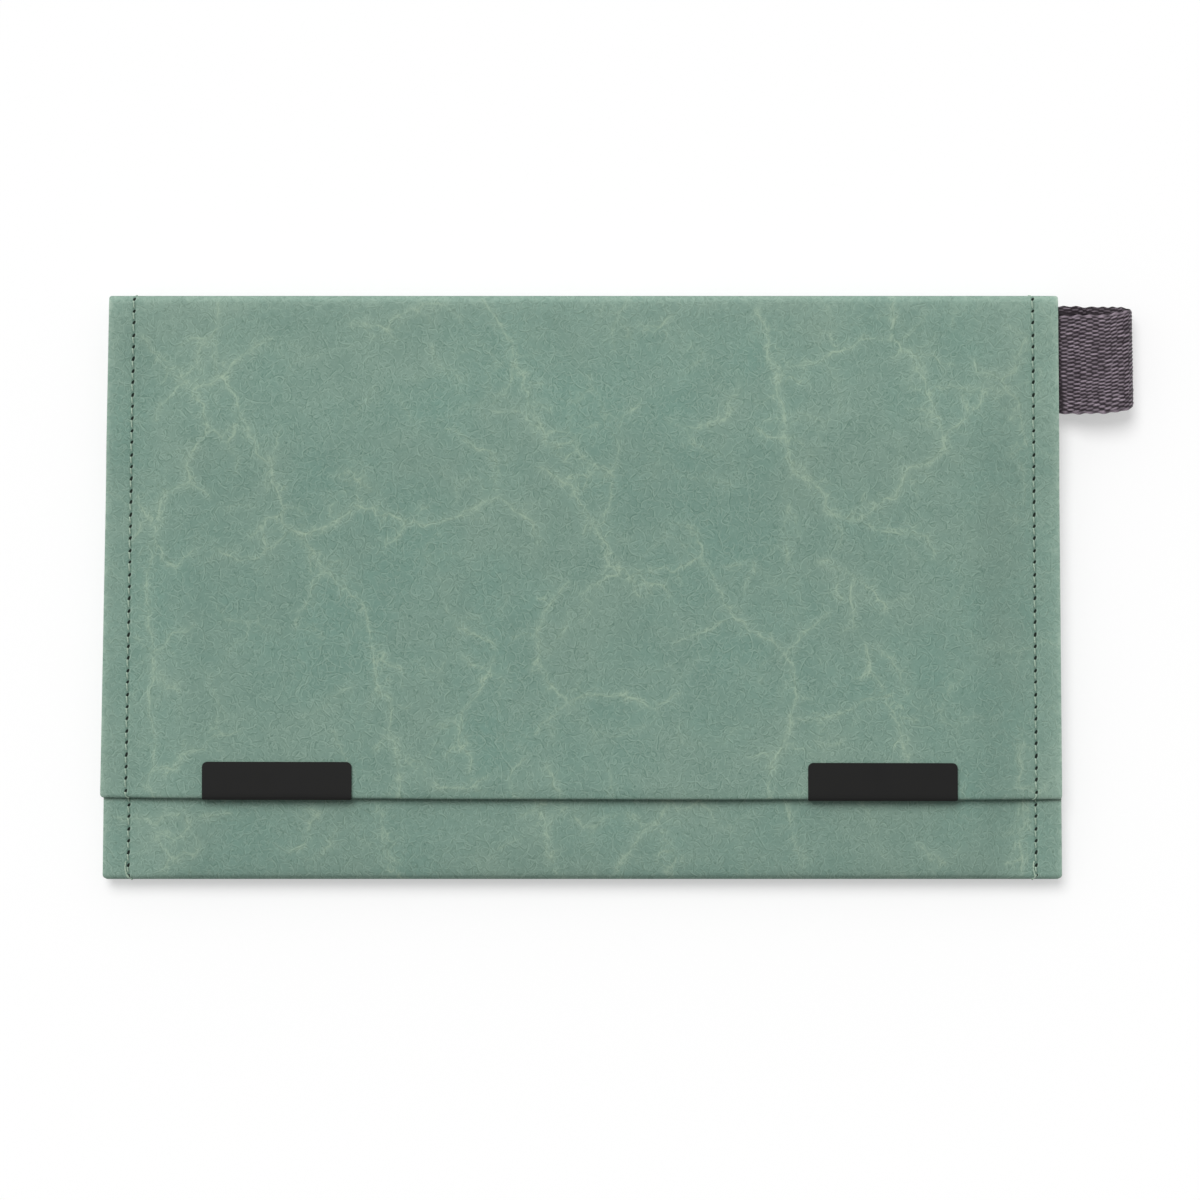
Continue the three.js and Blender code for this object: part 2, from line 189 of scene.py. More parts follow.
def traced_creases(x, y, routes, seed):
    """Crinkle lines along routes, each a chain of straight lines in mm bent by ripples, with twigs that
    branch off at random. Gives how near a line is, 1 on it and 0 some 3 mm away, and the distance to it in
    mm, positive on its left and negative on its right."""
    draw = np.random.default_rng(seed)
    bent_x, bent_y = bent(x, y, 0.5, 11, 0.35, seed)
    near = np.zeros(np.broadcast(x, y).shape)
    side = np.full(near.shape, 10.0)
    lines = [(weight, a, b) for weight, route in routes for a, b in zip(route[:-1], route[1:])]
    for weight, start, end in list(lines):
        heading = math.atan2(end[1] - start[1], end[0] - start[0])
        turn, length = draw.uniform(0.4, 1.3) * draw.choice((-1, 1)), draw.uniform(2, 7)
        tip = (end[0] + length * math.cos(heading + turn), end[1] + length * math.sin(heading + turn))
        lines.append((weight * draw.uniform(0.3, 0.65), end, tip))
    for weight, start, end in lines:
        run_x, run_y = end[0] - start[0], end[1] - start[1]
        from_x, from_y = bent_x - start[0], bent_y - start[1]
        t = np.clip((from_x * run_x + from_y * run_y) / (run_x ** 2 + run_y ** 2), 0, 1)
        away = np.hypot(from_x - t * run_x, from_y - t * run_y)
        band = weight * np.exp(-(away / CREASE_WIDTH) ** 2)
        left = np.where(run_x * from_y - run_y * from_x > 0, 1, -1)
        side = np.where(band > near, away * left, side)
        near = np.maximum(near, band)
    return near * (0.85 + 0.3 * ripple(x, y, 14, seed + 4)), side


def cell_creases(x, y, spacing, seed):
    """Crinkle lines along the walls between the cells round scattered points, spacing mm apart. Gives how
    near a wall is and the distance to it, with a sign, as traced_creases does."""
    draw = np.random.default_rng(seed)
    bent_x, bent_y = bent(x, y, 1.6, 13, 0.5, seed)
    grid = np.stack(np.meshgrid(np.arange(-140, 141, spacing), np.arange(-100, 101, spacing)), -1)
    points = grid.reshape(-1, 2) + draw.uniform(-0.42, 0.42, (grid.size // 2, 2)) * spacing
    away = np.hypot(bent_x[..., None] - points[:, 0], bent_y[..., None] - points[:, 1])
    order = np.argpartition(away, 1, axis=-1)[..., :2]
    pair = np.take_along_axis(away, order, axis=-1)
    wall = np.abs(pair[..., 1] - pair[..., 0]) / 2
    first = np.where(pair[..., 0] < pair[..., 1], order[..., 0], order[..., 1])
    side = np.where(first == order.min(axis=-1), wall, -wall)
    strength = np.clip(0.55 + 0.6 * ripple(x, y, 22, seed + 4), 0, 1)
    return np.exp(-(wall / WALL_WIDTH) ** 2) * strength, side


def stronger(one, other):
    """Two sets of crinkle lines as one: at each point the stronger line counts."""
    return np.maximum(one[0], other[0]), np.where(one[0] >= other[0], one[1], other[1])


def linear(hex_colour):
    """An sRGB hex colour as linear red, green, blue and alpha."""
    levels = [int(hex_colour[i:i + 2], 16) / 255 for i in (1, 3, 5)]
    return tuple(v / 12.92 if v <= 0.04045 else ((v + 0.055) / 1.055) ** 2.4 for v in levels) + (1.0,)


def set_inputs(tree, node, inputs):
    """Sets a node's sockets, by name or, as in_0, by number, to values or to other nodes' outputs."""
    for name, value in inputs.items():
        socket = node.inputs[int(name[3:])] if name.startswith("in_") else node.inputs[name]
        if isinstance(value, bpy.types.NodeSocket):
            tree.links.new(value, socket)
        else:
            socket.default_value = value


def add_node(tree, kind, settings=None, output=0, **inputs):
    """Adds a shader node and gives one of its outputs, by name or number. Settings are its properties, or
    only its operation. Inputs are as set_inputs takes them."""
    made = tree.nodes.new("ShaderNode" + kind)
    if isinstance(settings, str):
        settings = {"operation": settings}
    for name, value in (settings or {}).items():
        setattr(made, name, value)
    set_inputs(tree, made, inputs)
    return made.outputs[output]


def new_material(name):
    """A material with nodes, its tree and its shader."""
    material = bpy.data.materials.new(name)
    material.use_nodes = True
    return material, material.node_tree, material.node_tree.nodes["Principled BSDF"]


NOISE_4D = {"noise_dimensions": "4D"}
SMOOTH = {"interpolation_type": "SMOOTHSTEP"}
TIMES_CLAMPED = {"operation": "MULTIPLY", "use_clamp": True}
TINT = {"data_type": "RGBA"}


def washable_kraft_paper(name, ground, warm, shade, pale, deep, vein, sewn):
    """Paper-fibre sheet, dyed through, washed and pressed: matt, clouded, with curly pale fibres, each with a
    painted shadow on one side, paler crinkle veins with a dark strand of painted shade, rubbed edges and the
    painted light that its wear field also carries, and, where it is sewn, needle holes and a groove darkened
    as painted shade, with a painted highlight on each hole's right lip. It is built up in layers (share,
    tint, raised, source): a share of the tint covers what lies below, and the surface is raised by the source
    times raised."""
    material, tree, shader = new_material(name)
    place = add_node(tree, "TexCoord", output="Object")
    layers = []

    # Clouding from a bluer to a warmer green about 20 mm across, darker patches, and grain as fine as shows
    clouds = ((20, 0.36, 0.64, warm, 0.75), (8, 0.42, 0.7, shade, 0.4), (2.2, 0.42, 0.7, shade, 0.3))
    for number, (size, low, high, tint, most) in enumerate(clouds):
        cloud = add_node(tree, "TexNoise", NOISE_4D, Vector=place, Scale=1 / (size * MM), W=3.1 * number,
                         Detail=3.0)
        spread = add_node(tree, "MapRange", in_0=cloud, in_1=low, in_2=high, in_3=0.0, in_4=most)
        layers.append((spread, tint, 0, None))
    grain = add_node(tree, "TexNoise", Vector=place, Scale=1 / (GRAIN * MM), Detail=2.0)
    speckle = add_node(tree, "MapRange", in_0=grain, in_1=0.48, in_2=0.8, in_3=0.0, in_4=0.5)
    layers.append((speckle, shade, 0, None))

    # Fibres: curls along the lines where a noise is at its middle level, in pieces 1 or 2 mm long, as fine
    # as shows. The distance to a line, in fibre widths, is the noise above that level over its slope.
    # A fibre is pale, with a painted shadow as a dark line on one side, and stands out more along the creases
    crease = add_node(tree, "Attribute", {"attribute_name": "crease"}, "Fac")
    pale_fibre, painted_fibre_shadow = 0.0, 0.0
    curls = ((1.1, 0.6), (1.5, 0.7), (1.9, 0.75), (2.5, 0.8), (3.3, 0.9), (4.4, 1.0))
    for number, (curl, strength) in enumerate(curls):
        levels = []
        for aside in ((0.0, 0.0, 0.0), (FIBRE_WIDTH * MM, 0.0, 0.0), (0.0, FIBRE_WIDTH * MM, 0.0)):
            moved = add_node(tree, "VectorMath", "ADD", in_0=place, in_1=aside)
            levels.append(add_node(tree, "TexNoise", NOISE_4D, Vector=moved, Scale=1 / (curl * MM),
                                   W=11.0 + 5.3 * number, Detail=0.0))
        here = add_node(tree, "CombineXYZ", X=levels[0], Y=levels[0])
        beyond = add_node(tree, "CombineXYZ", X=levels[1], Y=levels[2])
        slope = add_node(tree, "VectorMath", "DISTANCE", "Value", in_0=here, in_1=beyond)
        above = add_node(tree, "Math", "SUBTRACT", in_0=levels[0], in_1=0.5)
        off = add_node(tree, "Math", "DIVIDE", in_0=above, in_1=slope)
        patch = add_node(tree, "TexNoise", NOISE_4D, Vector=place, Scale=1 / (FIBRE_LENGTH * MM),
                         W=40.0 + 3.7 * number, Detail=0.0)
        keep = add_node(tree, "MapRange", in_0=patch, in_1=0.44, in_2=0.62, in_3=0.0, in_4=strength)
        strokes = []
        for middle in (0.0, 1.1):
            beside = add_node(tree, "Math", "SUBTRACT", in_0=off, in_1=middle)
            away = add_node(tree, "Math", "ABSOLUTE", in_0=beside)
            line = add_node(tree, "MapRange", SMOOTH, in_0=away, in_1=0.2, in_2=0.9, in_3=1.0, in_4=0.0)
            strokes.append(add_node(tree, "Math", "MULTIPLY", in_0=line, in_1=keep))
        pale_fibre = add_node(tree, "Math", "MAXIMUM", in_0=strokes[0], in_1=pale_fibre)
        painted_fibre_shadow = add_node(tree, "Math", "MAXIMUM", in_0=strokes[1], in_1=painted_fibre_shadow)
    fibres = ((deep, painted_fibre_shadow, 0.68, 0.1, -0.4), (pale, pale_fibre, 0.36, 0.2, 0.6))
    for tint, fibre, open_share, crease_share, raised in fibres:
        share = add_node(tree, "Math", "MULTIPLY_ADD", in_0=crease, in_1=crease_share, in_2=open_share)
        shown = add_node(tree, "Math", TIMES_CLAMPED, in_0=fibre, in_1=share)
        layers.append((shown, tint, raised, fibre))

    # Specks: a dark pinprick in each cell some 13 mm across, as coarse as shows
    cell = add_node(tree, "TexVoronoi", {"voronoi_dimensions": "2D"}, "Distance", Vector=place,
                    Scale=1 / (13 * MM))
    speck = add_node(tree, "MapRange", SMOOTH, in_0=cell, in_1=0.01, in_2=0.03, in_3=0.7, in_4=0.0)
    layers.append((speck, deep, 0, None))

    # Veins: a faint smear along each crease, with a dark strand of painted shade and four pale strands that
    # weave across it
    side = add_node(tree, "Attribute", {"attribute_name": "crease_side"}, "Fac")
    tuft = add_node(tree, "TexNoise", Vector=place, Scale=1 / (1.6 * MM), Detail=3.0, Distortion=1.0)
    feather = add_node(tree, "MapRange", in_0=tuft, in_1=0.36, in_2=0.66, in_3=0.35, in_4=1.0)
    feathered = add_node(tree, "Math", "MULTIPLY", in_0=crease, in_1=feather)
    smear = add_node(tree, "Math", TIMES_CLAMPED, in_0=feathered, in_1=0.32)
    layers.append((smear, vein, 0, None))
    reach = add_node(tree, "MapRange", SMOOTH, in_0=crease, in_1=0.06, in_2=0.6)
    strands = ((3.0, 0.9, 0.15, 0.42, deep), (5.0, 0.4, 0.17, 0.36, vein), (3.2, 1.1, 0.14, 0.36, vein),
               (4.2, 1.7, 0.13, 0.36, vein), (2.4, 1.4, 0.12, 0.36, vein))
    for number, (swing, wander, width, share, tint) in enumerate(strands):
        drift = add_node(tree, "TexNoise", NOISE_4D, Vector=place, Scale=1 / (swing * MM),
                         W=70.0 + 4.3 * number, Detail=2.0)
        shift = add_node(tree, "MapRange", {"clamp": False}, in_0=drift, in_3=-wander * 2, in_4=wander * 2)
        off = add_node(tree, "Math", "ADD", in_0=side, in_1=shift)
        away = add_node(tree, "Math", "ABSOLUTE", in_0=off)
        line = add_node(tree, "MapRange", SMOOTH, in_0=away, in_1=width * 0.3, in_2=width * 1.7,
                        in_3=share, in_4=0.0)
        patch = add_node(tree, "TexNoise", NOISE_4D, Vector=place, Scale=1 / (3.5 * MM),
                         W=90.0 + 2.9 * number, Detail=1.0)
        keep = add_node(tree, "MapRange", in_0=patch, in_1=0.38, in_2=0.6, in_3=0.0, in_4=1.0)
        shown = add_node(tree, "Math", "MULTIPLY", in_0=line, in_1=keep)
        strength = add_node(tree, "Math", "MULTIPLY", in_0=shown, in_1=reach)
        layers.append((strength, tint, 0.8 if tint == vein else -0.8, strength))

    # Rubbed places, where the dye has worn pale, and painted light where the sides and the front are made
    # paler
    wear_and_painted_light = add_node(tree, "Attribute", {"attribute_name": "wear_and_painted_light"}, "Fac")
    worn_and_painted_light = add_node(tree, "Math", "MULTIPLY", in_0=wear_and_painted_light, in_1=feather)
    layers.append((worn_and_painted_light, pale, 0, None))

    # Needle holes every stitch along the seam: slanted ovals about 0.7 by 1 mm painted dark as painted shade,
    # with a painted highlight as a pale lip on their right, in a shallow groove darkened by painted shade
    if sewn:
        beside = add_node(tree, "Attribute", {"attribute_name": "seam_x"}, "Fac")
        turns = add_node(tree, "Attribute", {"attribute_name": "seam_turns"}, "Fac")
        nearest = add_node(tree, "Math", "ROUND", in_0=turns)
        past = add_node(tree, "Math", "SUBTRACT", in_0=turns, in_1=nearest)
        tall = add_node(tree, "Math", "MULTIPLY", in_0=past, in_1=STITCH / HOLE_HALF_LENGTH)
        slant = add_node(tree, "Math", "MULTIPLY_ADD", in_0=past, in_1=HOLE_SLANT, in_2=beside)
        wide = add_node(tree, "Math", "DIVIDE", in_0=slant, in_1=HOLE_HALF_WIDTH)
        oval = add_node(tree, "CombineXYZ", X=wide, Y=tall)
        from_hole = add_node(tree, "VectorMath", "LENGTH", "Value", in_0=oval)
        painted_hole_shade = add_node(tree, "MapRange", SMOOTH, in_0=from_hole, in_1=0.75, in_2=1.2, in_3=0.97, in_4=0.0)
        ring = add_node(tree, "MapRange", SMOOTH, in_0=from_hole, in_1=1.1, in_2=2.2, in_3=0.6, in_4=0.0)
        right = add_node(tree, "MapRange", in_0=wide, in_1=0.2, in_2=1.2)
        painted_lip_highlight = add_node(tree, "Math", "MULTIPLY", in_0=ring, in_1=right)
        off = add_node(tree, "Math", "ABSOLUTE", in_0=beside)
        painted_groove_shade = add_node(tree, "MapRange", SMOOTH, in_0=off, in_1=0.15, in_2=0.7, in_3=0.62, in_4=0.0)
        layers += [(painted_groove_shade, deep, -1.2, painted_groove_shade), (painted_lip_highlight, pale, 0.6, painted_lip_highlight), (painted_hole_shade, "#0C140F", -2.0, painted_hole_shade)]

    colour = linear(ground)
    height = add_node(tree, "Math", "MULTIPLY", in_0=grain, in_1=0.5)
    for share, tint, raised, source in layers:
        colour = add_node(tree, "Mix", TINT, 2, in_0=share, in_6=colour, in_7=linear(tint))
        if raised:
            height = add_node(tree, "Math", "MULTIPLY_ADD", in_0=source, in_1=raised, in_2=height)
    dull = add_node(tree, "MapRange", in_0=grain, in_1=0.3, in_2=0.7, in_3=0.8, in_4=0.92)
    relief = add_node(tree, "Bump", Strength=0.35, Distance=0.09 * MM, Height=height)
    set_inputs(tree, shader, {"Base Color": colour, "Roughness": dull, "Normal": relief, "IOR": 1.45,
                              "Specular IOR Level": 0.2})
    return material


def stitch_turns(run):
    """Stitches counted along a seam, by mm of run: 3 mm each, now a little longer, now shorter."""
    return (run + 0.14 * np.sin(0.83 * run) + 0.08 * np.sin(1.9 * run + 1)) / STITCH


def seam_offset(column):
    """Distance in mm to the right of the nearer side seam."""
    return (np.abs(column) - SEAM_X) * np.sign(column)


def paper_relief(crease, column):
    """How far the paper stands out, in mm: up along its crinkle lines, down in its seam's groove."""
    return CREASE_HEIGHT * crease - SEAM_GROOVE * np.exp(-((SEAM_X - np.abs(column)) / GROOVE_WIDTH) ** 2)


def side_edges(y):
    """Left and right edge of the pouch in mm: it narrows slightly towards the spine."""
    up = (y + POUCH_HALF_HEIGHT) / (2 * POUCH_HALF_HEIGHT)
    return -POUCH_HALF_WIDTH + TOP_TAPER_LEFT * up, POUCH_HALF_WIDTH - TOP_TAPER_RIGHT * up


def sway(x, y):
    """The slight waviness that all plies share, in mm, still under the clips."""
    from_clip = np.hypot(np.abs(x) - STILL_X, np.maximum(np.abs(y - STILL_Y) - STILL_REACH, 0))
    return SWAY * ripple(x, y, SWAY_LENGTH, 5) * ease(from_clip, *STILL_RAMP)


def pouch_swell(x, y):
    """How full the pouch is, from 0 at the sewn sides, the bottom fold and the spine to 1 in the middle."""
    return ease(np.abs(x), *SIDE_RAMP) * ease(y, *BOTTOM_RAMP) * ease(y, *TOP_RAMP)


def front_swell(x, y):
    """How full the front is: as the pouch, but it rises faster from the bottom fold, as t^0.5."""
    rise = np.clip((y - FRONT_START_Y) / FRONT_REACH, 0, 1) ** 0.5
    return ease(np.abs(x), *SIDE_RAMP) * rise * ease(y, *TOP_RAMP)


def front_rise(x, y):
    """Height of the front where it is full, in mm: it dips between the clips, under the flap's edge."""
    dip = ease(np.abs(x), *BETWEEN_CLIPS) * ease(y, *DIP_FROM_BELOW) * ease(y, *DIP_FROM_ABOVE)
    return FRONT_RISE + sway(x, y) - FRONT_DIP * dip


def pouch_sheet(column, run, inset):
    """Points of the pouch's outer sheet at a column (mm across) and a run (mm along, from mid spine): down
    the spine, a quarter turn, the back, a half turn at the bottom, the front. Inset moves it inwards."""
    crease = CREASE_RADIUS - inset
    turn = np.clip((run - SPINE_RUN) / CREASE_RADIUS, 0, math.pi / 2)
    fold = np.clip((run - BACK_RUN) / FOLD_RADIUS, 0, math.pi)
    back = np.clip(run - CREASE_RUN, 0, BACK_RUN - CREASE_RUN)
    front = np.maximum(run - FOLD_RUN, 0)
    y = POUCH_HALF_HEIGHT - inset - crease * (1 - np.cos(turn)) - back - FOLD_RADIUS * np.sin(fold) + front
    z = SPINE_MIDDLE_Z - np.minimum(run, SPINE_RUN) - crease * np.sin(turn)
    z = z + FOLD_RADIUS * (1 - np.cos(fold))
    left, right = side_edges(y)
    cut = corner_cut(y + POUCH_HALF_HEIGHT, CORNER_RADIUS) + corner_cut(POUCH_HALF_HEIGHT - y, SPINE_CORNER)
    share = column / POUCH_HALF_WIDTH
    x = (left + right) / 2 + share * ((right - left) / 2 - inset - cut)
    on_front = fold > math.pi / 2
    z = z + np.where(on_front, front_swell(x, y) * front_rise(x, y), pouch_swell(x, y) * BACK_SINK)
    return np.stack(np.broadcast_arrays(x, y, z), axis=-1)


# Grey green, clouded from bluer to warmer, with pale veins that make it look like washed leather
sage_kraft_paper = washable_kraft_paper(
    "sage_kraft_paper", ground="#729185", warm="#7E9588", shade="#688479", pale="#A0B7A8", deep="#587468",
    vein="#9FB39E", sewn=True)
pouch_columns = side_to_side((-112.2, -97, 1.2), (-97, 97, 1.7), (97, 112.2, 1.2))
pouch_runs = steps((0, SPINE_RUN, 0.3), (SPINE_RUN, CREASE_RUN, 0.4), (CREASE_RUN, CREASE_RUN + 22, 1.1),
                   (CREASE_RUN + 22, BACK_RUN - 20, 1.8), (BACK_RUN - 20, BACK_RUN, 1.1),
                   (BACK_RUN, FOLD_RUN, 0.32), (FOLD_RUN, FOLD_RUN + 26, 0.85),
                   (FOLD_RUN + 26, FRONT_RUN - 3, 1.9), (FRONT_RUN - 3, FRONT_RUN, 0.5))
column, run = np.meshgrid(pouch_columns, pouch_runs)
points = pouch_sheet(column, run, 0)
x, y = points[..., 0], points[..., 1]

# Crinkle lines of the strip below the flap, as they lie in the photograph, in mm: strength, then route
strip_creases = [
    (1.0, [(-12, -50), (-11, -55), (-9, -62), (-8, -69)]),
    (0.5, [(-6, -65), (-8, -70)]),
    (1.0, [(23, -50), (21, -55), (19, -59), (16, -60), (12, -66), (9, -70)]),
    (0.6, [(19, -59), (22, -65), (24, -68), (22, -71), (18, -68), (21, -66)]),
    (0.7, [(49, -50), (51, -56), (53, -60), (53, -65), (55, -69)]),
    (0.7, [(-112, -58), (-106, -60), (-104, -57), (-99, -57), (-98, -61), (-102, -63), (-106, -62)]),
    (0.7, [(-106, -63), (-103, -68), (-105, -71)]),
    (0.5, [(-119, -57), (-115, -58), (-112, -58)]),
    (0.7, [(-96, -58), (-89, -57)]),
    (0.7, [(-69, -56), (-66, -57), (-68, -59), (-70, -65), (-74, -66)]),
    (0.9, [(-50, -54), (-50, -60), (-50, -63), (-49, -67), (-48, -72)]),
    (0.7, [(-47, -63), (-49, -67)]),
    (0.9, [(110, -54), (111, -59), (109, -62), (110, -67), (109, -71)]),
    (0.5, [(84, -65), (87, -68), (91, -69)]),
    (0.4, [(-25, -63), (-25, -70)]),
]

FAINT_STRIP, STRIP_PAINTED_LIGHT = 0.5, 0.08
EDGE_WEAR, EDGE_WEAR_WIDTH = 0.8, 0.9
BACK_CREASE_WEAR, CREASE_WEAR_WIDTH = 0.25, 4.0

front_side = run > BACK_RUN
faint, faint_side = cell_creases(x, y, 34, 32)
strip = stronger(traced_creases(x, y, strip_creases, 31), (FAINT_STRIP * faint, faint_side))
creases = np.where(front_side, strip, cell_creases(x, y, 38, 33))
edge = np.minimum(POUCH_HALF_WIDTH - np.abs(column), FRONT_RUN - run)
from_crease = np.abs(run - (SPINE_RUN + CREASE_RUN) / 2)
wear_and_painted_light = rubbed(EDGE_WEAR, edge, EDGE_WEAR_WIDTH) + rubbed(BACK_CREASE_WEAR, from_crease, CREASE_WEAR_WIDTH)
# Painted light: the whole front, with the strip below the flap, is made a little paler
wear_and_painted_light += STRIP_PAINTED_LIGHT * front_side
outward = np.where(front_side, 1.0, -1.0)
points[..., 2] += outward * paper_relief(creases[0], column) * ease(run, CREASE_RUN, CREASE_RUN + 2)
pouch_paper = paper_ply("pouch_paper", points, sage_kraft_paper, creases, wear_and_painted_light, OUTER_RIM,
                        seam_x=seam_offset(column), seam_turns=stitch_turns(run))
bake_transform(pouch_paper)
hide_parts("back_panel", "bottom_fold", "front_panel")

# Linings of the pouch
# Two plies of the same paper in a deeper shade, glued inside the front and the back. The back one bridges
# the sewn-in ends of the webbing and turns up the spine; the front one closes on the outer ply at the mouth.

PLY_STEP, INNER_RIM = 0.7, 0.1
LINING_BOTTOM_Y = -70.8
LINING_HALF_WIDTH = 119.3
LINING_WEAR, LINING_WEAR_WIDTH = 0.4, 0.8
TAIL_CLEARANCE = 2.25
TAIL_SIDE, TAIL_BELOW, TAIL_ABOVE = (109.0, 112.0), (42.0, 42.9), (71.3, 70.1)
FRONT_LINING_Z, FRONT_LINING_RISE = 4.7, 2.25
MOUTH_LIFT, MOUTH_RAMP = 1.2, (34.0, 41.5)

lining_columns = steps((-LINING_HALF_WIDTH, -112, 1.0), (-112, -97, 1.5), (-97, 97, 3.0), (97, 108.5, 1.5),
                       (108.5, LINING_HALF_WIDTH, 0.5))
lining_runs = steps((0, SPINE_RUN, 0.3), (SPINE_RUN, CREASE_RUN, 0.4), (CREASE_RUN, CREASE_RUN + 2, 0.25),
                    (CREASE_RUN + 2, CREASE_RUN + 26, 1.0), (CREASE_RUN + 26, CREASE_RUN + 31, 0.25),
                    (CREASE_RUN + 31, BACK_RUN + FOLD_Y - LINING_BOTTOM_Y, 2.4))


def back_lining_sheet(column, run, inset):
    """Points of the back lining: the pouch's sheet moved inwards and raised over the ends of the webbing."""
    points = pouch_sheet(column, run, inset)
    x, y = points[..., 0], points[..., 1]
    points[..., 2] += TAIL_CLEARANCE * ease(x, *TAIL_SIDE) * ease(y, *TAIL_BELOW) * ease(y, *TAIL_ABOVE)
    return points


# The same paper, a shade deeper and with fainter veins
deep_sage_paper = washable_kraft_paper(
    "deep_sage_lining_paper", ground="#6F8B7F", warm="#798D80", shade="#647F73", pale="#93A99A",
    deep="#526D61", vein="#8CA18D", sewn=False)
column, run = np.meshgrid(lining_columns, lining_runs)
points = back_lining_sheet(column, run, PLY_STEP)
x, y = points[..., 0], points[..., 1]
back_lining = paper_ply("back_lining_paper", points, deep_sage_paper, cell_creases(x, y, 30, 41),
                        np.zeros_like(x), INNER_RIM)
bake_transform(back_lining)
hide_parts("back_lining")

x, y = np.meshgrid(lining_columns, steps((MOUTH_Y - 0.15, 33, 0.8), (33, LINING_BOTTOM_Y, 2.4)))
rise = FRONT_LINING_RISE + sway(x, y) + MOUTH_LIFT * ease(y, *MOUTH_RAMP)
points = np.stack([x, y, FRONT_LINING_Z + front_swell(x, y) * rise], axis=-1)
wear_and_painted_light = rubbed(LINING_WEAR, MOUTH_Y - y, LINING_WEAR_WIDTH)
front_lining = paper_ply("front_lining_paper", points, deep_sage_paper, cell_creases(x, y, 30, 42),
                         wear_and_painted_light, INNER_RIM)
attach(front_lining, "pouch")
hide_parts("front_lining")

# Patch pockets
# Two patches of the lining paper, one for a passport and one for cards, laid on the back lining and sewn
# round three sides with the seam thread. Their upper edges stay open and are turned for strength.

POCKET_Z, POCKET_BOW = 2.3, 0.35
POCKET_TOP_Y, POCKET_HEM = 40.0, 2.0
POCKET_WEAR, POCKET_WEAR_WIDTH = 0.5, 0.7
POCKET_SEAM_INSET, POCKET_SEAM_START = 2.5, 1.0
POCKET_DENT, DENT_WIDTH = 0.12, 0.9
POCKET_SUNK, POCKET_SLANT, POCKET_SAMPLE = 0.1, 0.1, 0.25
THREAD_RADIUS, THREAD_SIDES = 0.2, 8
THREAD_LAY, PLY_BULGE = 1.5, 0.16
THREAD_LIFT, THREAD_DIVE = 0.62, 0.5
COMES_UP, GOES_DOWN, SLANT_FROM = (0.12, 0.5), (0.93, 0.82), 0.15


def thread_tube(path, outward, turns, slant):
    """Tube of two-ply thread along a path of points with outward directions. Turns counts stitches along
    it: at each whole number the thread dives into its hole. It comes up more slowly than it goes down."""
    along = np.gradient(path, axis=0)
    pace = np.linalg.norm(along, axis=1, keepdims=True)
    side = np.cross(outward, along / pace)
    part = turns - np.floor(turns)
    lift = THREAD_LIFT * ease(part, *COMES_UP) * ease(part, *GOES_DOWN) - THREAD_DIVE
    centre = path + outward * lift[:, None] + side * (slant * (part - SLANT_FROM))[:, None]
    angle = np.linspace(0, 2 * math.pi, THREAD_SIDES, endpoint=False)
    twist = np.cumsum(pace) * 2 * math.pi / THREAD_LAY
    radius = THREAD_RADIUS * (1 + PLY_BULGE * np.cos(2 * (angle[None] - twist[:, None])))
    ring = np.cos(angle)[None, :, None] * side[:, None] + np.sin(angle)[None, :, None] * outward[:, None]
    return centre[:, None] + radius[..., None] * ring


def pocket_height(x, y, left, right, bottom):
    """Height of a patch in mm: it bows up towards its open edge, by a half wave of a cosine across."""
    share = (x - (left + right) / 2) / (right - left)
    return POCKET_Z + POCKET_BOW * ease(y, bottom, POCKET_TOP_Y) * np.cos(share * math.pi)


# Two-ply sewing thread: pale green, slightly shiny, with fine diagonal filaments along each ply
polyester_thread, tree, shader = new_material("pale_green_polyester_thread")
place = add_node(tree, "TexCoord", output="Object")
tilted = add_node(tree, "Mapping", Vector=place, Rotation=(0.0, 0.0, 0.6))
filament = add_node(tree, "TexNoise", Vector=tilted, Scale=1 / (0.35 * MM), Detail=3.0)
shift = add_node(tree, "MapRange", in_0=filament, in_1=0.3, in_2=0.7)
tint = add_node(tree, "Mix", TINT, 2, in_0=shift, in_6=linear("#869F8E"), in_7=linear("#AEC3B0"))
relief = add_node(tree, "Bump", Strength=0.4, Distance=0.05 * MM, Height=filament)
set_inputs(tree, shader, {"Base Color": tint, "Normal": relief, "Roughness": 0.6, "Specular IOR Level": 0.3,
                          "Sheen Weight": 0.15})

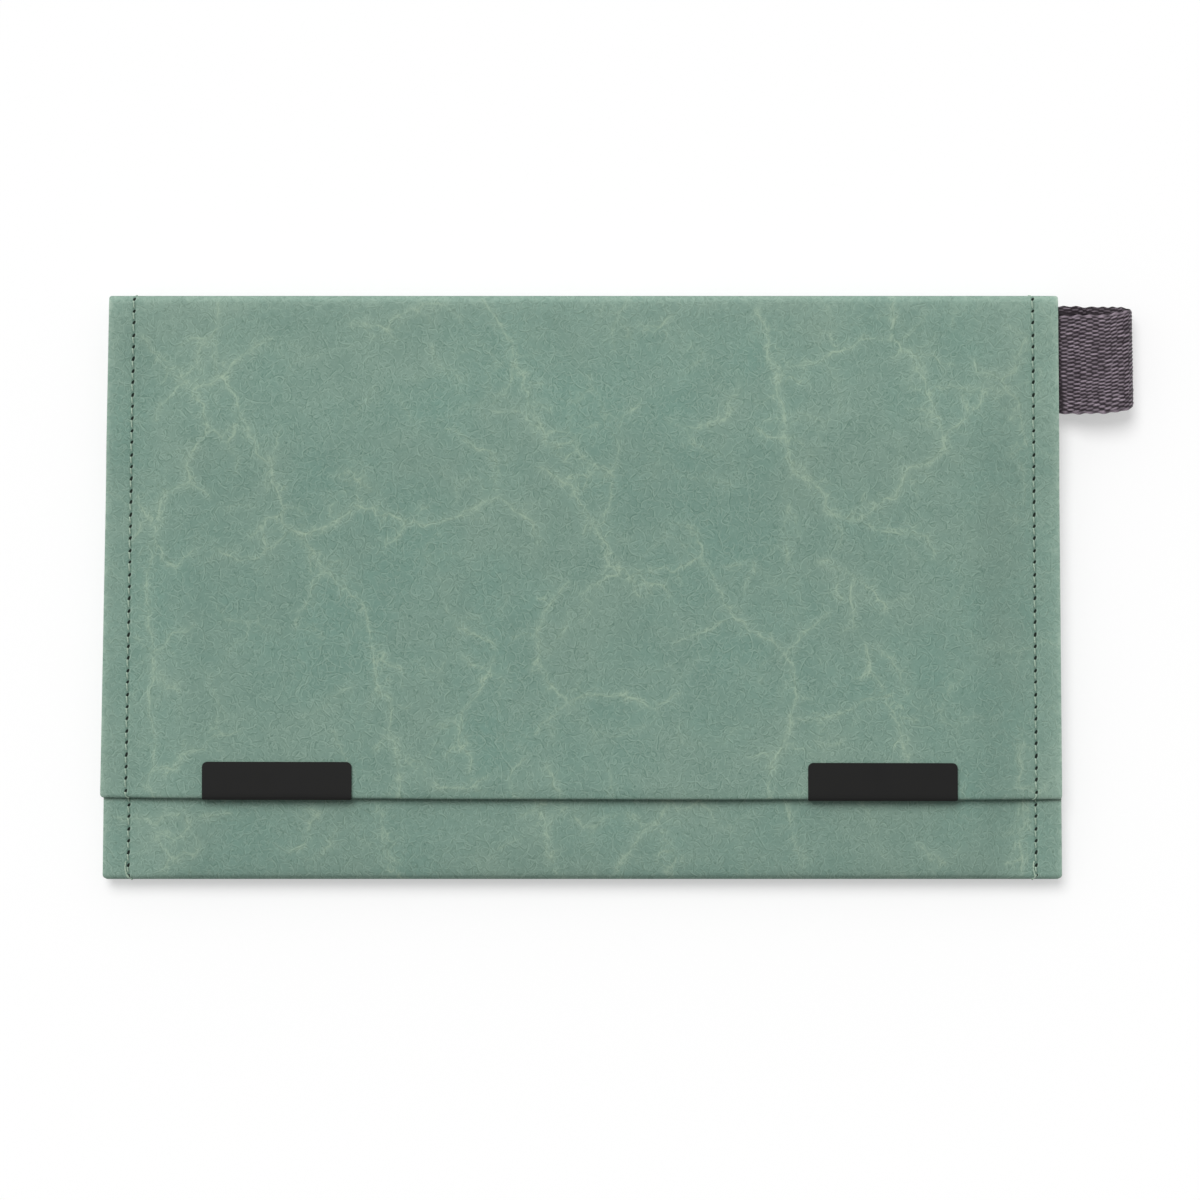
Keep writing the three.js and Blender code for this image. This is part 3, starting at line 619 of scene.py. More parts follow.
for name, left, right, bottom, flat in (
    ("passport_pocket", -97, -3, -53, (0.094, 0.093)),
    ("card_pocket", 3, 97, -14, (0.094, 0.054)),
):
    x, y = np.meshgrid(steps((left, right, 1.5)), steps((bottom, POCKET_TOP_Y - POCKET_HEM, 1.5),
                                                        (POCKET_TOP_Y - POCKET_HEM, POCKET_TOP_Y, 0.4)))
    from_seam = np.minimum(np.minimum(x - left, right - x), y - bottom) - POCKET_SEAM_INSET
    z = pocket_height(x, y, left, right, bottom) - POCKET_DENT * np.exp(-(from_seam / DENT_WIDTH) ** 2)
    wear_and_painted_light = rubbed(POCKET_WEAR, POCKET_TOP_Y - y, POCKET_WEAR_WIDTH)
    patch = paper_ply(f"{name}_patch", np.stack([x, y, z], axis=-1), deep_sage_paper,
                      cell_creases(x, y, 26, 43), wear_and_painted_light, INNER_RIM)
    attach(patch, "pouch")
    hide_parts(name)

    down = steps((POCKET_TOP_Y - POCKET_SEAM_START, bottom + POCKET_SEAM_INSET, POCKET_SAMPLE))
    across = steps((left + POCKET_SEAM_INSET, right - POCKET_SEAM_INSET, POCKET_SAMPLE))
    row_x = np.concatenate([np.full(len(down), across[0]), across, np.full(len(down), across[-1])])
    row_y = np.concatenate([down, np.full(len(across), down[-1]), down[::-1]])
    row_z = pocket_height(row_x, row_y, left, right, bottom) - POCKET_SUNK
    path = np.stack([row_x, row_y, row_z], axis=-1)
    path = path[np.linalg.norm(np.diff(path, axis=0, prepend=path[:1] - 1), axis=1) > 0.01]
    upward = np.broadcast_to((0.0, 0.0, 1.0), path.shape)
    turns = np.arange(len(path)) * POCKET_SAMPLE / STITCH
    row = surface(f"{name}_thread", [thread_tube(path, upward, turns, POCKET_SLANT)], polyester_thread,
                  around=True)
    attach(row, "pouch")
    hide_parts(f"{name}_stitch")

# Catch magnets
# Two bar magnets, nickel plated, glued between the front's outer ply and its lining opposite the clips.
# They are the construction model's own bars, with a plated finish.

# Nickel plating: a bright metal, a little dulled by fine scratches along the bar
plated_nickel, tree, shader = new_material("plated_nickel")
place = add_node(tree, "TexCoord", output="Object")
drawn = add_node(tree, "Mapping", Vector=place, Scale=(0.04, 1.0, 1.0))
scratches = add_node(tree, "TexNoise", Vector=drawn, Scale=1 / (0.2 * MM), Detail=4.0)
sheen = add_node(tree, "MapRange", in_0=scratches, in_3=0.22, in_4=0.42)
relief = add_node(tree, "Bump", Strength=0.15, Distance=0.02 * MM, Height=scratches)
set_inputs(tree, shader, {"Base Color": linear("#B8B6AE"), "Metallic": 1.0, "Roughness": sheen,
                          "Normal": relief})
for node in ("catch_magnet_left", "catch_magnet_right"):
    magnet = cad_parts[node]
    magnet.data.materials.clear()
    magnet.data.materials.append(plated_nickel)

# Hanging loop
# One length of grey polyester webbing, 25 mm wide, folded into a flat loop, with both ends sewn in between
# back panel and back lining. Its upper layer lies 2 mm askew, so that the lower one shows along the top.

WEB_WIDTH = 24.8
WEB_THICKNESS = 1.05
WEB_MIDDLE_Y = 58.15
WEB_AXIS_Z = 5.05
TAIL_START_X, SIDE_X = 112.2, 119.0
PARTING_X, SHOULDER_X = 121.2, 127.5
LOOP_END_X = 135.0
LOOP_RADIUS = 3.25
YARN, YARN_HEIGHT = 0.5, 0.22
YARN_BOW, YARN_DRIFT = 0.0065, 0.35
PICK, PICK_SLIP, PICK_DRIFT = 1.6, 0.12, 0.2
YARNS, FLOATS = 120, 40
TONE_LOW, TONE_SPREAD = 0.58, 0.55
SELVEDGE_WIDTH, SELVEDGE_WAVE = 0.9, 3.2
SCALLOP, SCALLOP_DRIFT = 0.13, 0.1
EDGE_ROUNDING = 0.18
FLAP_SHADOW_RAMP, FLAP_SHADOW_SLANT = (120.2, 119.5), (4.0, -12.0)
SKEW, SKEW_RISE, SKEW_START_X = -2.45, 0.65, 130.5
END_LEAN, LEAN_START_X = 0.012, 124.0
LOOP_CORNER = 0.6

leg_x = steps((TAIL_START_X, SIDE_X, 0.6), (SIDE_X, LOOP_END_X, 0.3))
leg_drop = WEB_THICKNESS + (LOOP_RADIUS - WEB_THICKNESS) * ease(leg_x, PARTING_X, SHOULDER_X)
bend = np.linspace(-math.pi / 2, math.pi / 2, 33)[1:-1]
spine_x = np.concatenate([leg_x, LOOP_END_X + LOOP_RADIUS * np.cos(bend), leg_x[::-1]])
spine_z = WEB_AXIS_Z + np.concatenate([-leg_drop, LOOP_RADIUS * np.sin(bend), leg_drop[::-1]])
upper_skew = SKEW + SKEW_RISE * ease(leg_x, SKEW_START_X, LOOP_END_X)
bend_skew = upper_skew[-1] * np.linspace(0, 1, len(bend)) ** 1.4
skew = np.concatenate([np.zeros(len(leg_x)), bend_skew, upper_skew[::-1]])
length = np.concatenate([[0], np.cumsum(np.hypot(np.diff(spine_x), np.diff(spine_z)))])
side_x, side_z = np.gradient(spine_z, length), -np.gradient(spine_x, length)
across, along = np.meshgrid(np.linspace(-0.5, 0.5, 221) * WEB_WIDTH, length)

# Each yarn runs along the tape, over and under the picks in turn, with its own tone from float to float
drift = YARN_BOW * (spine_x[:, None] - SIDE_X) ** 2 + YARN_DRIFT * ripple(across, along, 12, 6)
crossing = (across - drift) / YARN
yarn = np.floor(crossing)
yarn_number = yarn.astype(int) + YARNS // 2
round_top = np.sqrt(np.clip(1 - (2 * (crossing - yarn) - 1) ** 2, 0, 1))
draw = np.random.default_rng(8)
slip = PICK_SLIP * draw.uniform(-1, 1, YARNS)[yarn_number]
turn = along / PICK + yarn + slip + PICK_DRIFT * ripple(across, along, 7, 9)
float_number = np.floor(turn / 2 + 0.5).astype(int) % FLOATS
tone = TONE_LOW + TONE_SPREAD * draw.uniform(0, 1, (YARNS, FLOATS))[yarn_number, float_number]

# The weft scallops the edges, the end leans and has rounded corners, and a painted shadow darkens the upper
# layer along the flap's edge
selvedge = ease(np.abs(across), WEB_WIDTH / 2 - SELVEDGE_WIDTH, WEB_WIDTH / 2)
edge_wave = along * 2 * math.pi / SELVEDGE_WAVE + 1.2 * ripple(along, along * 0, 15, 13)
lower_leg = (np.arange(len(length)) < len(leg_x) + len(bend) // 2)[:, None]
painted_flap_shadow = ease(spine_x[:, None] - ease(across, *FLAP_SHADOW_SLANT), *FLAP_SHADOW_RAMP) * (spine_z > WEB_AXIS_Z)[:, None]
scallop = SCALLOP * np.cos(edge_wave + 1.0) + SCALLOP_DRIFT * ripple(along, along * 0, 7, 12)
end_cut = corner_cut(LOOP_END_X + LOOP_RADIUS - spine_x, LOOP_CORNER)
narrowed = across * (1 - end_cut[:, None] / (WEB_WIDTH / 2))
web_y = WEB_MIDDLE_Y + skew[:, None] + narrowed + np.sign(across) * scallop * selvedge
lean = -END_LEAN * across * ease(spine_x[:, None], LEAN_START_X, LOOP_END_X + LOOP_RADIUS)

# The outer face, then the inner one, where each yarn floats as it dives outside. The inner face is darkened
# by painted shade, most of all away from its edges
painted_inner_shade = 0.3 + 0.45 * ease(np.abs(across), WEB_WIDTH / 2 - 1.0, WEB_WIDTH / 2 - 1.9)
web_faces, web_tones = [], []
for face_depth, outwards, shift in ((0.0, 1, 0), (-WEB_THICKNESS, -1, 1)):
    float_over = ease(np.cos(math.pi * (turn + shift)), -0.6, 0.75)
    # Each yarn is darker at its sides and near black where it dives: painted shade in the hollows of the
    # weave
    weave_and_painted_shade = (0.3 + 0.7 * round_top) * (0.2 + 0.8 * float_over) * tone
    # On the lower leg the selvedge keeps the weave but at 0.85 of it: painted shade under the upper layer
    edge_tone = np.where(lower_leg, 0.85 * weave_and_painted_shade, 0.68 + 0.28 * np.cos(edge_wave))
    # The upper layer is darkened along the flap's edge by painted shadow
    weave_and_painted_shade = (weave_and_painted_shade * (1 - selvedge) + selvedge * edge_tone) * (1 - 0.55 * painted_flap_shadow)
    depth = face_depth + outwards * (YARN_HEIGHT * (weave_and_painted_shade - 1) - EDGE_ROUNDING * selvedge)
    web_faces.append(np.stack([spine_x[:, None] + side_x[:, None] * depth + lean, web_y,
                               spine_z[:, None] + side_z[:, None] * depth], axis=-1)[:, ::outwards])
    web_tones.append((weave_and_painted_shade * (1 - shift * painted_inner_shade))[:, ::outwards])

# Dyed filament yarn with a soft sheen. Its tint runs from pale where a yarn floats over to near black where
# it dives, which is painted shade in the hollows of the weave
woven_polyester, tree, shader = new_material("woven_grey_polyester_webbing")
place = add_node(tree, "TexCoord", output="Object")
raised = add_node(tree, "Attribute", {"attribute_name": "weave_and_painted_shade"}, "Fac")
drawn = add_node(tree, "Mapping", Vector=place, Scale=(0.25, 1.0, 1.0))
filament = add_node(tree, "TexNoise", Vector=drawn, Scale=1 / (0.25 * MM), Detail=3.0)
frayed = add_node(tree, "Math", "MULTIPLY_ADD", in_0=filament, in_1=0.5, in_2=raised)
shown = add_node(tree, "MapRange", in_0=frayed, in_1=0.46, in_2=1.42)
tint = add_node(tree, "Mix", TINT, 2, in_0=shown, in_6=linear("#1B1119"), in_7=linear("#9F919D"))
relief = add_node(tree, "Bump", Strength=0.4, Distance=0.06 * MM, Height=filament)
set_inputs(tree, shader, {"Base Color": tint, "Normal": relief, "Roughness": 0.62,
                          "Specular IOR Level": 0.25, "Sheen Weight": 0.1})
webbing = surface("webbing_strap", [np.concatenate(web_faces, axis=1)], woven_polyester, around=True,
                  fields={"weave_and_painted_shade": np.concatenate(web_tones, axis=1)})
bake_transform(webbing)
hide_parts("webbing_loop", "loop_tails")

# Side seams
# Lockstitch in pale green thread, 3 mm to the stitch, that closes the four plies at both sides. On the front
# it runs over the bottom fold, where it is doubled to lock it, and on the back it runs up to the spine.

STITCH_SAMPLE, SEAM_SLANT = 0.2, 0.35
TWO_PLIES = PLY_STEP + PAPER
SUNK, INNER_SUNK, LOCK_SUNK = 0.12, 0.2, 0.05
LOCK_ASIDE, LOCK_SWAY = 0.42, 0.35
STAYS_UP = 0.5


def seam_path(sheet, column, run, inset=0):
    """Points along one column of a sheet, or inset mm under it, and the directions out of the sheet."""
    path = sheet(np.full(len(run), column * (1 + inset / POUCH_HALF_WIDTH)), run, inset)
    along = np.gradient(path, axis=0)
    along /= np.linalg.norm(along, axis=1, keepdims=True)
    return path, np.cross((1.0, 0.0, 0.0), along)


for side_name, column in (("left", -SEAM_X), ("right", SEAM_X)):
    run = steps((BACK_RUN - 0.5, FRONT_RUN - 1, STITCH_SAMPLE))
    path, outward = seam_path(pouch_sheet, column, run)
    turns = np.where(run < FOLD_RUN - 0.2, STAYS_UP, stitch_turns(run))
    lock_run = steps((BACK_RUN + 0.3, FOLD_RUN + 3.2, STITCH_SAMPLE))
    lock_path, lock_outward = seam_path(pouch_sheet, column - LOCK_ASIDE, lock_run)
    lock_path[:, 0] += LOCK_SWAY * np.sin((lock_run - BACK_RUN) * 0.8)
    lock_turns = np.full(len(lock_run), STAYS_UP)
    row = surface(f"side_thread_{side_name}", [
        thread_tube(path - SUNK * outward, outward, turns, SEAM_SLANT),
        thread_tube(lock_path - LOCK_SUNK * lock_outward, lock_outward, lock_turns, 0.0),
    ], polyester_thread, around=True)
    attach(row, "pouch")
    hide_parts(f"side_stitch_{side_name}")

    run = steps((0.3, BACK_RUN - 0.6, STITCH_SAMPLE))
    path, outward = seam_path(pouch_sheet, column, run)
    inner_run = steps((0.3, CREASE_RUN + POUCH_HALF_HEIGHT - CREASE_RADIUS - MOUTH_Y - 1, STITCH_SAMPLE))
    inner_path, under = seam_path(back_lining_sheet, column, inner_run, TWO_PLIES)
    row = surface(f"back_thread_{side_name}", [
        thread_tube(path - SUNK * outward, outward, stitch_turns(run), SEAM_SLANT),
        thread_tube(inner_path + INNER_SUNK * under, -under, stitch_turns(inner_run), SEAM_SLANT),
    ], polyester_thread, around=True)
    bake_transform(row)
    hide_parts(f"back_stitch_{side_name}")

# Outer paper of the flap
# The second sheet of the kraft paper: it meets the first at mid spine, turns over the spine and lies over
# the mouth and most of the front. Its free edge is straight, its sides flare a little and hug the pouch.

FLAP_EDGE_Y = -52.75
ROLL_RADIUS = TWO_PLIES / 2
ROLL_LENGTH = 1.1
ROLL_Y = FLAP_EDGE_Y + ROLL_LENGTH
ROLL_RUN = ROLL_Y - ROLL_RADIUS * math.pi
FLAP_PINCH_Z, FLAP_RISE, FLAP_TOP_RAMP = 8.35, 3.2, (69.0, 33.0)
FLAP_CREASE_Y = POUCH_HALF_HEIGHT - CREASE_RADIUS
FLAP_LEFT_TOP, FLAP_LEFT_BOTTOM = -118.5, -120.5
FLAP_RIGHT_TOP, FLAP_RIGHT_BOTTOM = 119.1, 119.9
FLAP_RUN = FLAP_CREASE_Y + CREASE_RADIUS * math.pi / 2 + SPINE_RUN
EDGE_BOW, EDGE_SAG, FREE_START_Y = 0.12, 0.05, -20.0
EDGE_SLOPE = 0.0019
CLIP_NOTCH, NOTCH_X, NOTCH_RAMP = 0.4, 75.4, (18.0, 16.5)
EDGE_BEND, BEND_RUN = 0.26, 1.6
SIDE_DROOP, DROOP_SIDE, DROOP_TOP = 0.85, (107.0, 118.0), (38.0, 22.0)


def flap_sheet(column, run, inset):
    """Points of the flap's outer sheet at a column (mm across) and a run (mm along; y on the flat part): a
    half turn from below round the free edge, up the flap, a quarter turn at the crease, then down to mid
    spine. The edge is cut back a little in the clips. Inset moves it inwards."""
    crease = CREASE_RADIUS - inset
    turn = np.clip((run - FLAP_CREASE_Y) / CREASE_RADIUS, 0, math.pi / 2)
    down = np.clip(run - FLAP_CREASE_Y - CREASE_RADIUS * math.pi / 2, 0, SPINE_RUN)
    roll = np.clip((ROLL_Y - run) / ROLL_RADIUS, 0, math.pi)
    level = np.clip(run, ROLL_Y, FLAP_CREASE_Y)
    y = level + crease * np.sin(turn) - ROLL_LENGTH * np.sin(roll)
    up = (level - FLAP_EDGE_Y) / (FLAP_CREASE_Y - FLAP_EDGE_Y)
    left = FLAP_LEFT_BOTTOM + (FLAP_LEFT_TOP - FLAP_LEFT_BOTTOM) * up
    right = FLAP_RIGHT_BOTTOM + (FLAP_RIGHT_TOP - FLAP_RIGHT_BOTTOM) * up
    cut = corner_cut(y - FLAP_EDGE_Y, CORNER_RADIUS) + corner_cut(POUCH_HALF_HEIGHT - y, SPINE_CORNER)
    x = (left + right) / 2 + column / POUCH_HALF_WIDTH * ((right - left) / 2 - inset - cut)
    free = ease(level, FREE_START_Y, FLAP_EDGE_Y)
    between = ease(np.abs(x), *BETWEEN_CLIPS)
    y = y - free * (EDGE_BOW * between + EDGE_SLOPE * (x + POUCH_HALF_WIDTH))
    y = y + CLIP_NOTCH * ease(np.abs(np.abs(x) - NOTCH_X), *NOTCH_RAMP) * ease(level, ROLL_Y + 3, ROLL_Y)
    full = ease(np.abs(x), *SIDE_RAMP) * ease(level, *FLAP_TOP_RAMP)
    droop = SIDE_DROOP * ease(np.abs(x), *DROOP_SIDE) * ease(level, *DROOP_TOP)
    bend = EDGE_BEND * np.clip(1 - (level - ROLL_Y) / BEND_RUN, 0, 1) ** 2
    sag = (EDGE_SAG * free + bend) * between
    z = FLAP_PINCH_Z - inset + full * (FLAP_RISE + sway(x, level)) - droop - sag
    z = z - crease * (1 - np.cos(turn)) - down - ROLL_RADIUS * (1 - np.cos(roll))
    return np.stack(np.broadcast_arrays(x, y, z), axis=-1)


# Crinkle lines of the flap, as they lie in the photograph, in mm: strength, then route
flap_creases = [
    (0.9, [(-91, 71), (-91, 65), (-93, 63), (-95, 60), (-97, 55), (-100, 52)]),
    (0.7, [(-93, 63), (-101, 60)]),
    (0.5, [(-92, 62), (-92, 58), (-91, 53)]),
    (1.0, [(-110, 62), (-107, 59), (-104, 56), (-100, 52), (-97, 50), (-93, 50), (-89, 53)]),
    (0.7, [(-89, 53), (-87, 56), (-84, 58), (-82, 60), (-78, 62)]),
    (0.6, [(-100, 50), (-105, 46), (-107, 42)]),
    (1.0, [(-90, 52), (-87, 47), (-85, 42), (-82, 37), (-81, 33), (-78, 30), (-76, 25), (-75, 21), (-74, 15),
           (-72, 14), (-67, 13)]),
    (0.4, [(-78, 33), (-75, 39)]),
    (0.9, [(-97, 49), (-94, 43), (-94, 39), (-97, 34), (-99, 30), (-98, 26), (-104, 24), (-106, 18),
           (-107, 13), (-104, 6), (-101, 5)]),
    (0.5, [(-93, 40), (-90, 37), (-86, 32), (-86, 29)]),
    (0.8, [(-111, 22), (-109, 18), (-107, 15)]),
    (0.8, [(-107, 12), (-108, 5), (-109, -3), (-108, -10), (-107, -17), (-107, -20), (-108, -25),
           (-108, -32), (-107, -39), (-107, -46), (-109, -50)]),
    (0.8, [(-112, -13), (-109, -15), (-107, -16), (-105, -15), (-103, -12), (-99, -12)]),
    (0.6, [(-106, -22), (-104, -25), (-101, -26)]),
    (0.9, [(-107, -46), (-102, -45), (-100, -42), (-94, -41)]),
    (0.5, [(-94, -41), (-91, -37), (-86, -36)]),
    (0.8, [(-58, 66), (-53, 66), (-49, 65), (-44, 69), (-40, 70), (-35, 71)]),
    (0.5, [(-55, 66), (-53, 62)]),
    (1.0, [(-67, 13), (-64, 15), (-59, 17), (-57, 20), (-52, 20), (-50, 18), (-44, 16), (-37, 15), (-31, 18),
           (-26, 20), (-22, 22)]),
    (0.7, [(-59, 18), (-56, 21), (-56, 26), (-58, 29)]),
    (0.7, [(-44, 16), (-46, 13), (-49, 11), (-50, 9)]),
    (0.7, [(-75, 18), (-79, 17), (-80, 12), (-79, 9), (-76, 10), (-74, 13)]),
    (0.7, [(-79, 9), (-80, 7), (-85, 7), (-91, 9)]),
    (0.8, [(-72, 13), (-68, 10), (-66, 8), (-65, 4), (-67, 1), (-68, -3), (-70, -6), (-71, -10)]),
    (0.4, [(-70, -8), (-65, -12)]),
    (0.9, [(-65, 4), (-60, 1), (-56, -3), (-54, -6), (-53, -11), (-52, -16), (-52, -21), (-50, -26),
           (-48, -29), (-48, -36), (-46, -41), (-46, -46), (-45, -52)]),
    (0.6, [(-65, 4), (-61, 6)]),
    (0.6, [(-51, -18), (-45, -21)]),
    (0.5, [(-62, -36), (-60, -41), (-57, -46)]),
    (0.7, [(-33, 39), (-23, 33), (-21, 29), (-22, 25), (-22, 22)]),
    (0.7, [(-22, 22), (-18, 20), (-13, 16), (-11, 11)]),
    (0.6, [(-38, 60), (-37, 55), (-34, 54), (-30, 51)]),
    (1.0, [(-25, 71), (-22, 67), (-18, 61), (-17, 56), (-15, 52), (-13, 47), (-12, 42), (-10, 39), (-9, 35),
           (-5, 36), (-3, 37), (-2, 35), (1, 31), (6, 29), (8, 27)]),
    (0.6, [(-17, 55), (-19, 48), (-22, 46)]),
    (0.7, [(-22, 44), (-16, 44), (-13, 41)]),
    (0.5, [(-3, 37), (4, 40)]),
    (0.7, [(-3, 27), (2, 28), (8, 27)]),
    (1.0, [(-10, 29), (-3, 25), (-1, 22), (1, 18), (4, 14), (6, 10), (6, 5), (11, 4)]),
    (0.6, [(8, 26), (7, 22), (5, 16)]),
    (0.7, [(6, 10), (11, 4), (14, -2)]),
    (0.4, [(14, 46), (10, 42), (9, 34), (8, 27)]),
    (0.8, [(11, 4), (5, 2), (0, -2)]),
    (0.8, [(12, 3), (16, 1), (20, 0)]),
    (0.6, [(14, 4), (22, 4), (27, 6), (30, 7), (29, 11), (27, 15)]),
    (0.7, [(30, 6), (33, 2), (35, -3), (36, -6), (39, -8), (43, -11), (48, -14), (51, -16)]),
    (0.8, [(36, 5), (42, 6), (43, 3)]),
    (0.5, [(35, -8), (32, -11), (23, -14)]),
    (0.8, [(22, 41), (26, 39), (28, 35)]),
    (0.8, [(26, 39), (33, 41), (36, 42), (37, 46), (39, 49)]),
    (0.6, [(11, 71), (9, 68), (7, 64)]),
    (0.5, [(9, 68), (12, 63)]),
    (0.6, [(22, 68), (20, 65), (16, 64)]),
    (0.8, [(-3, 1), (-8, -3), (-10, -9), (-12, -12), (-10, -16), (-11, -19), (-8, -24), (-3, -28), (3, -27),
           (10, -27), (15, -29), (19, -31)]),
    (0.6, [(-3, -7), (-5, -13)]),
    (0.6, [(-3, -28), (-8, -32), (-11, -37)]),
    (0.5, [(24, -27), (19, -29), (18, -33)]),
    (0.6, [(-32, -10), (-23, -13), (-22, -17), (-23, -21), (-30, -18)]),
    (0.8, [(-23, -21), (-27, -27), (-30, -32), (-31, -35), (-31, -39), (-28, -42), (-28, -46)]),
    (0.6, [(-37, -35), (-31, -35)]),
    (0.7, [(-24, -47), (-27, -50), (-34, -50), (-37, -50)]),
    (0.5, [(-16, -39), (-14, -42), (-18, -47), (-17, -51)]),
    (0.6, [(-9, -44), (-6, -51)]),
    (0.4, [(7, -46), (8, -51)]),
    (1.0, [(44, 68), (46, 62), (47, 57), (49, 53), (49, 48), (50, 44), (50, 38), (51, 34), (53, 29),
           (57, 26), (61, 22), (61, 19), (63, 17), (66, 17), (71, 17), (74, 21), (78, 23), (80, 27)]),
    (1.0, [(80, 27), (81, 29), (86, 30), (90, 35), (90, 39), (88, 42), (86, 48), (85, 54), (84, 58),
           (80, 59), (78, 63), (78, 67), (77, 71)]),
    (0.8, [(49, 53), (51, 55), (55, 55), (63, 59), (68, 60), (73, 62), (78, 62)]),
    (0.7, [(44, 39), (48, 37), (50, 36)]),
    (0.6, [(50, 39), (51, 40), (54, 42)]),
    (0.6, [(51, 24), (51, 19), (51, 12), (51, 6)]),
    (0.9, [(71, 17), (73, 14), (70, 19), (72, 21)]),
    (0.7, [(74, 14), (79, 13), (86, 13), (87, 10), (88, 6)]),
    (0.6, [(80, 27), (82, 25), (84, 22)]),
    (0.7, [(84, 58), (88, 58), (90, 55)]),
    (0.8, [(87, 48), (90, 50), (95, 50), (98, 49), (100, 48), (98, 45)]),
    (0.7, [(95, 49), (96, 44), (95, 41), (91, 37)]),
    (0.8, [(98, 56), (99, 53), (105, 52), (108, 55), (110, 59), (111, 62)]),
    (0.6, [(100, 49), (105, 48), (107, 50), (105, 52)]),
    (0.8, [(107, 49), (109, 45), (110, 40), (111, 36)]),
    (0.5, [(110, 30), (111, 25), (110, 21)]),
    (0.5, [(79, 61), (82, 64), (86, 68)]),
    (0.5, [(92, 65), (93, 69), (96, 69)]),
    (0.9, [(60, 6), (64, 4), (63, 0), (64, -3)]),
    (0.6, [(64, 4), (70, 1), (75, -4), (76, -7)]),
    (1.0, [(51, -16), (52, -22), (53, -27), (52, -32), (51, -37), (49, -41), (47, -46), (46, -52)]),
    (0.6, [(53, -16), (54, -12), (57, -10), (61, -7)]),
    (0.8, [(67, 1), (67, -2), (68, -9), (71, -16), (72, -21), (75, -25), (76, -27),
           (77, -32), (80, -37), (81, -43)]),
    (0.5, [(73, -14), (78, -20), (81, -27)]),
    (0.7, [(54, -33), (58, -33), (63, -32), (69, -29), (74, -28), (77, -27)]),
    (0.6, [(50, -39), (55, -40), (58, -42)]),
    (0.7, [(109, -40), (110, -45), (109, -49), (114, -51)]),
]

FAINT_FLAP = 0.3
FLAP_CREASE_WEAR = 0.5
SIDE_PAINTED_LIGHT, SIDE_PAINTED_LIGHT_RAMP = 0.1, (112.0, 118.0)
RIGHT_PAINTED_LIGHT, RIGHT_PAINTED_LIGHT_RAMP = 0.12, (98.0, 107.0)

flap_columns = side_to_side((-112.2, 112.2, 0.98))
turn_stretches = (FLAP_CREASE_Y, FLAP_RUN - SPINE_RUN, 0.4), (FLAP_RUN - SPINE_RUN, FLAP_RUN, 0.3)
column, run = np.meshgrid(flap_columns, steps((ROLL_RUN, ROLL_Y, 0.2), (ROLL_Y, FLAP_CREASE_Y, 0.95),
                                              *turn_stretches))
points = flap_sheet(column, run, 0)
x = points[..., 0]
faint, faint_side = cell_creases(x, run, 19, 22)
creases = stronger(traced_creases(x, run, flap_creases, 21), (FAINT_FLAP * faint, faint_side))
edge = POUCH_HALF_WIDTH - np.abs(column)
from_crease = np.abs(run - FLAP_CREASE_Y - 1)
wear_and_painted_light = rubbed(EDGE_WEAR, edge, EDGE_WEAR_WIDTH) + rubbed(FLAP_CREASE_WEAR, from_crease, CREASE_WEAR_WIDTH)
# Painted light: the margins beyond both seams and the right side of the flap, which slopes away from the
# lamp, are made paler
wear_and_painted_light += SIDE_PAINTED_LIGHT * ease(np.abs(column), *SIDE_PAINTED_LIGHT_RAMP) + RIGHT_PAINTED_LIGHT * ease(column, *RIGHT_PAINTED_LIGHT_RAMP)
points[..., 2] += paper_relief(creases[0], column) * ease(run, FLAP_CREASE_Y + 0.5, FLAP_CREASE_Y - 1.5)
flap_paper = paper_ply("flap_paper", points, sage_kraft_paper, creases, wear_and_painted_light, OUTER_RIM,
                       seam_x=seam_offset(column), seam_turns=stitch_turns(run))
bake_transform(flap_paper)
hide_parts("flap_panel", "spine_panel")

# Lining of the flap
# A ply of the deeper paper glued under the flap and down the upper half of the spine, cut back a little
# from the free edge so that it does not show when the flap is shut.

LINING_EDGE_Y = -51.6

column, run = np.meshgrid(lining_columns, steps((LINING_EDGE_Y, FLAP_CREASE_Y, 2.0), *turn_stretches))
points = flap_sheet(column, run, PLY_STEP)
wear_and_painted_light = rubbed(LINING_WEAR, run - LINING_EDGE_Y, LINING_WEAR_WIDTH)
flap_lining = paper_ply("flap_lining_paper", points, deep_sage_paper,
                        cell_creases(points[..., 0], points[..., 1], 30, 44), wear_and_painted_light, INNER_RIM)
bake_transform(flap_lining)
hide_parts("flap_lining", "spine_lining")

# Stitched sides of the flap
# A row of the same lockstitch along each side of the flap, from the spine to the free edge, where the thread
# is carried round the edge and locked underneath.

EDGE_TUCK = 2.0

for side_name, column in (("left", -SEAM_X), ("right", SEAM_X)):
    run = steps((ROLL_RUN, FLAP_RUN - 0.3, STITCH_SAMPLE))
    path, outward = seam_path(flap_sheet, column, run)
    tuck = path[0] + np.linspace(EDGE_TUCK, STITCH_SAMPLE, 10)[:, None] * np.array((0.0, 1.0, 0.0))
    path = np.concatenate([tuck, path])
    outward = np.concatenate([np.broadcast_to(outward[0], tuck.shape), outward])
    turns = np.concatenate([np.full(len(tuck), STAYS_UP),
                            np.where(run < ROLL_Y + 0.3, STAYS_UP, stitch_turns(run))])
    inner_run = steps((ROLL_Y + EDGE_TUCK, FLAP_RUN - 0.3, STITCH_SAMPLE))
    inner_path, over = seam_path(flap_sheet, column, inner_run, TWO_PLIES)
    row = surface(f"flap_thread_{side_name}", [
        thread_tube(path - SUNK * outward, outward, turns, SEAM_SLANT),
        thread_tube(inner_path + INNER_SUNK * over, -over, stitch_turns(inner_run), SEAM_SLANT),
    ], polyester_thread, around=True)
    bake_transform(row)
    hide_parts(f"flap_stitch_{side_name}")

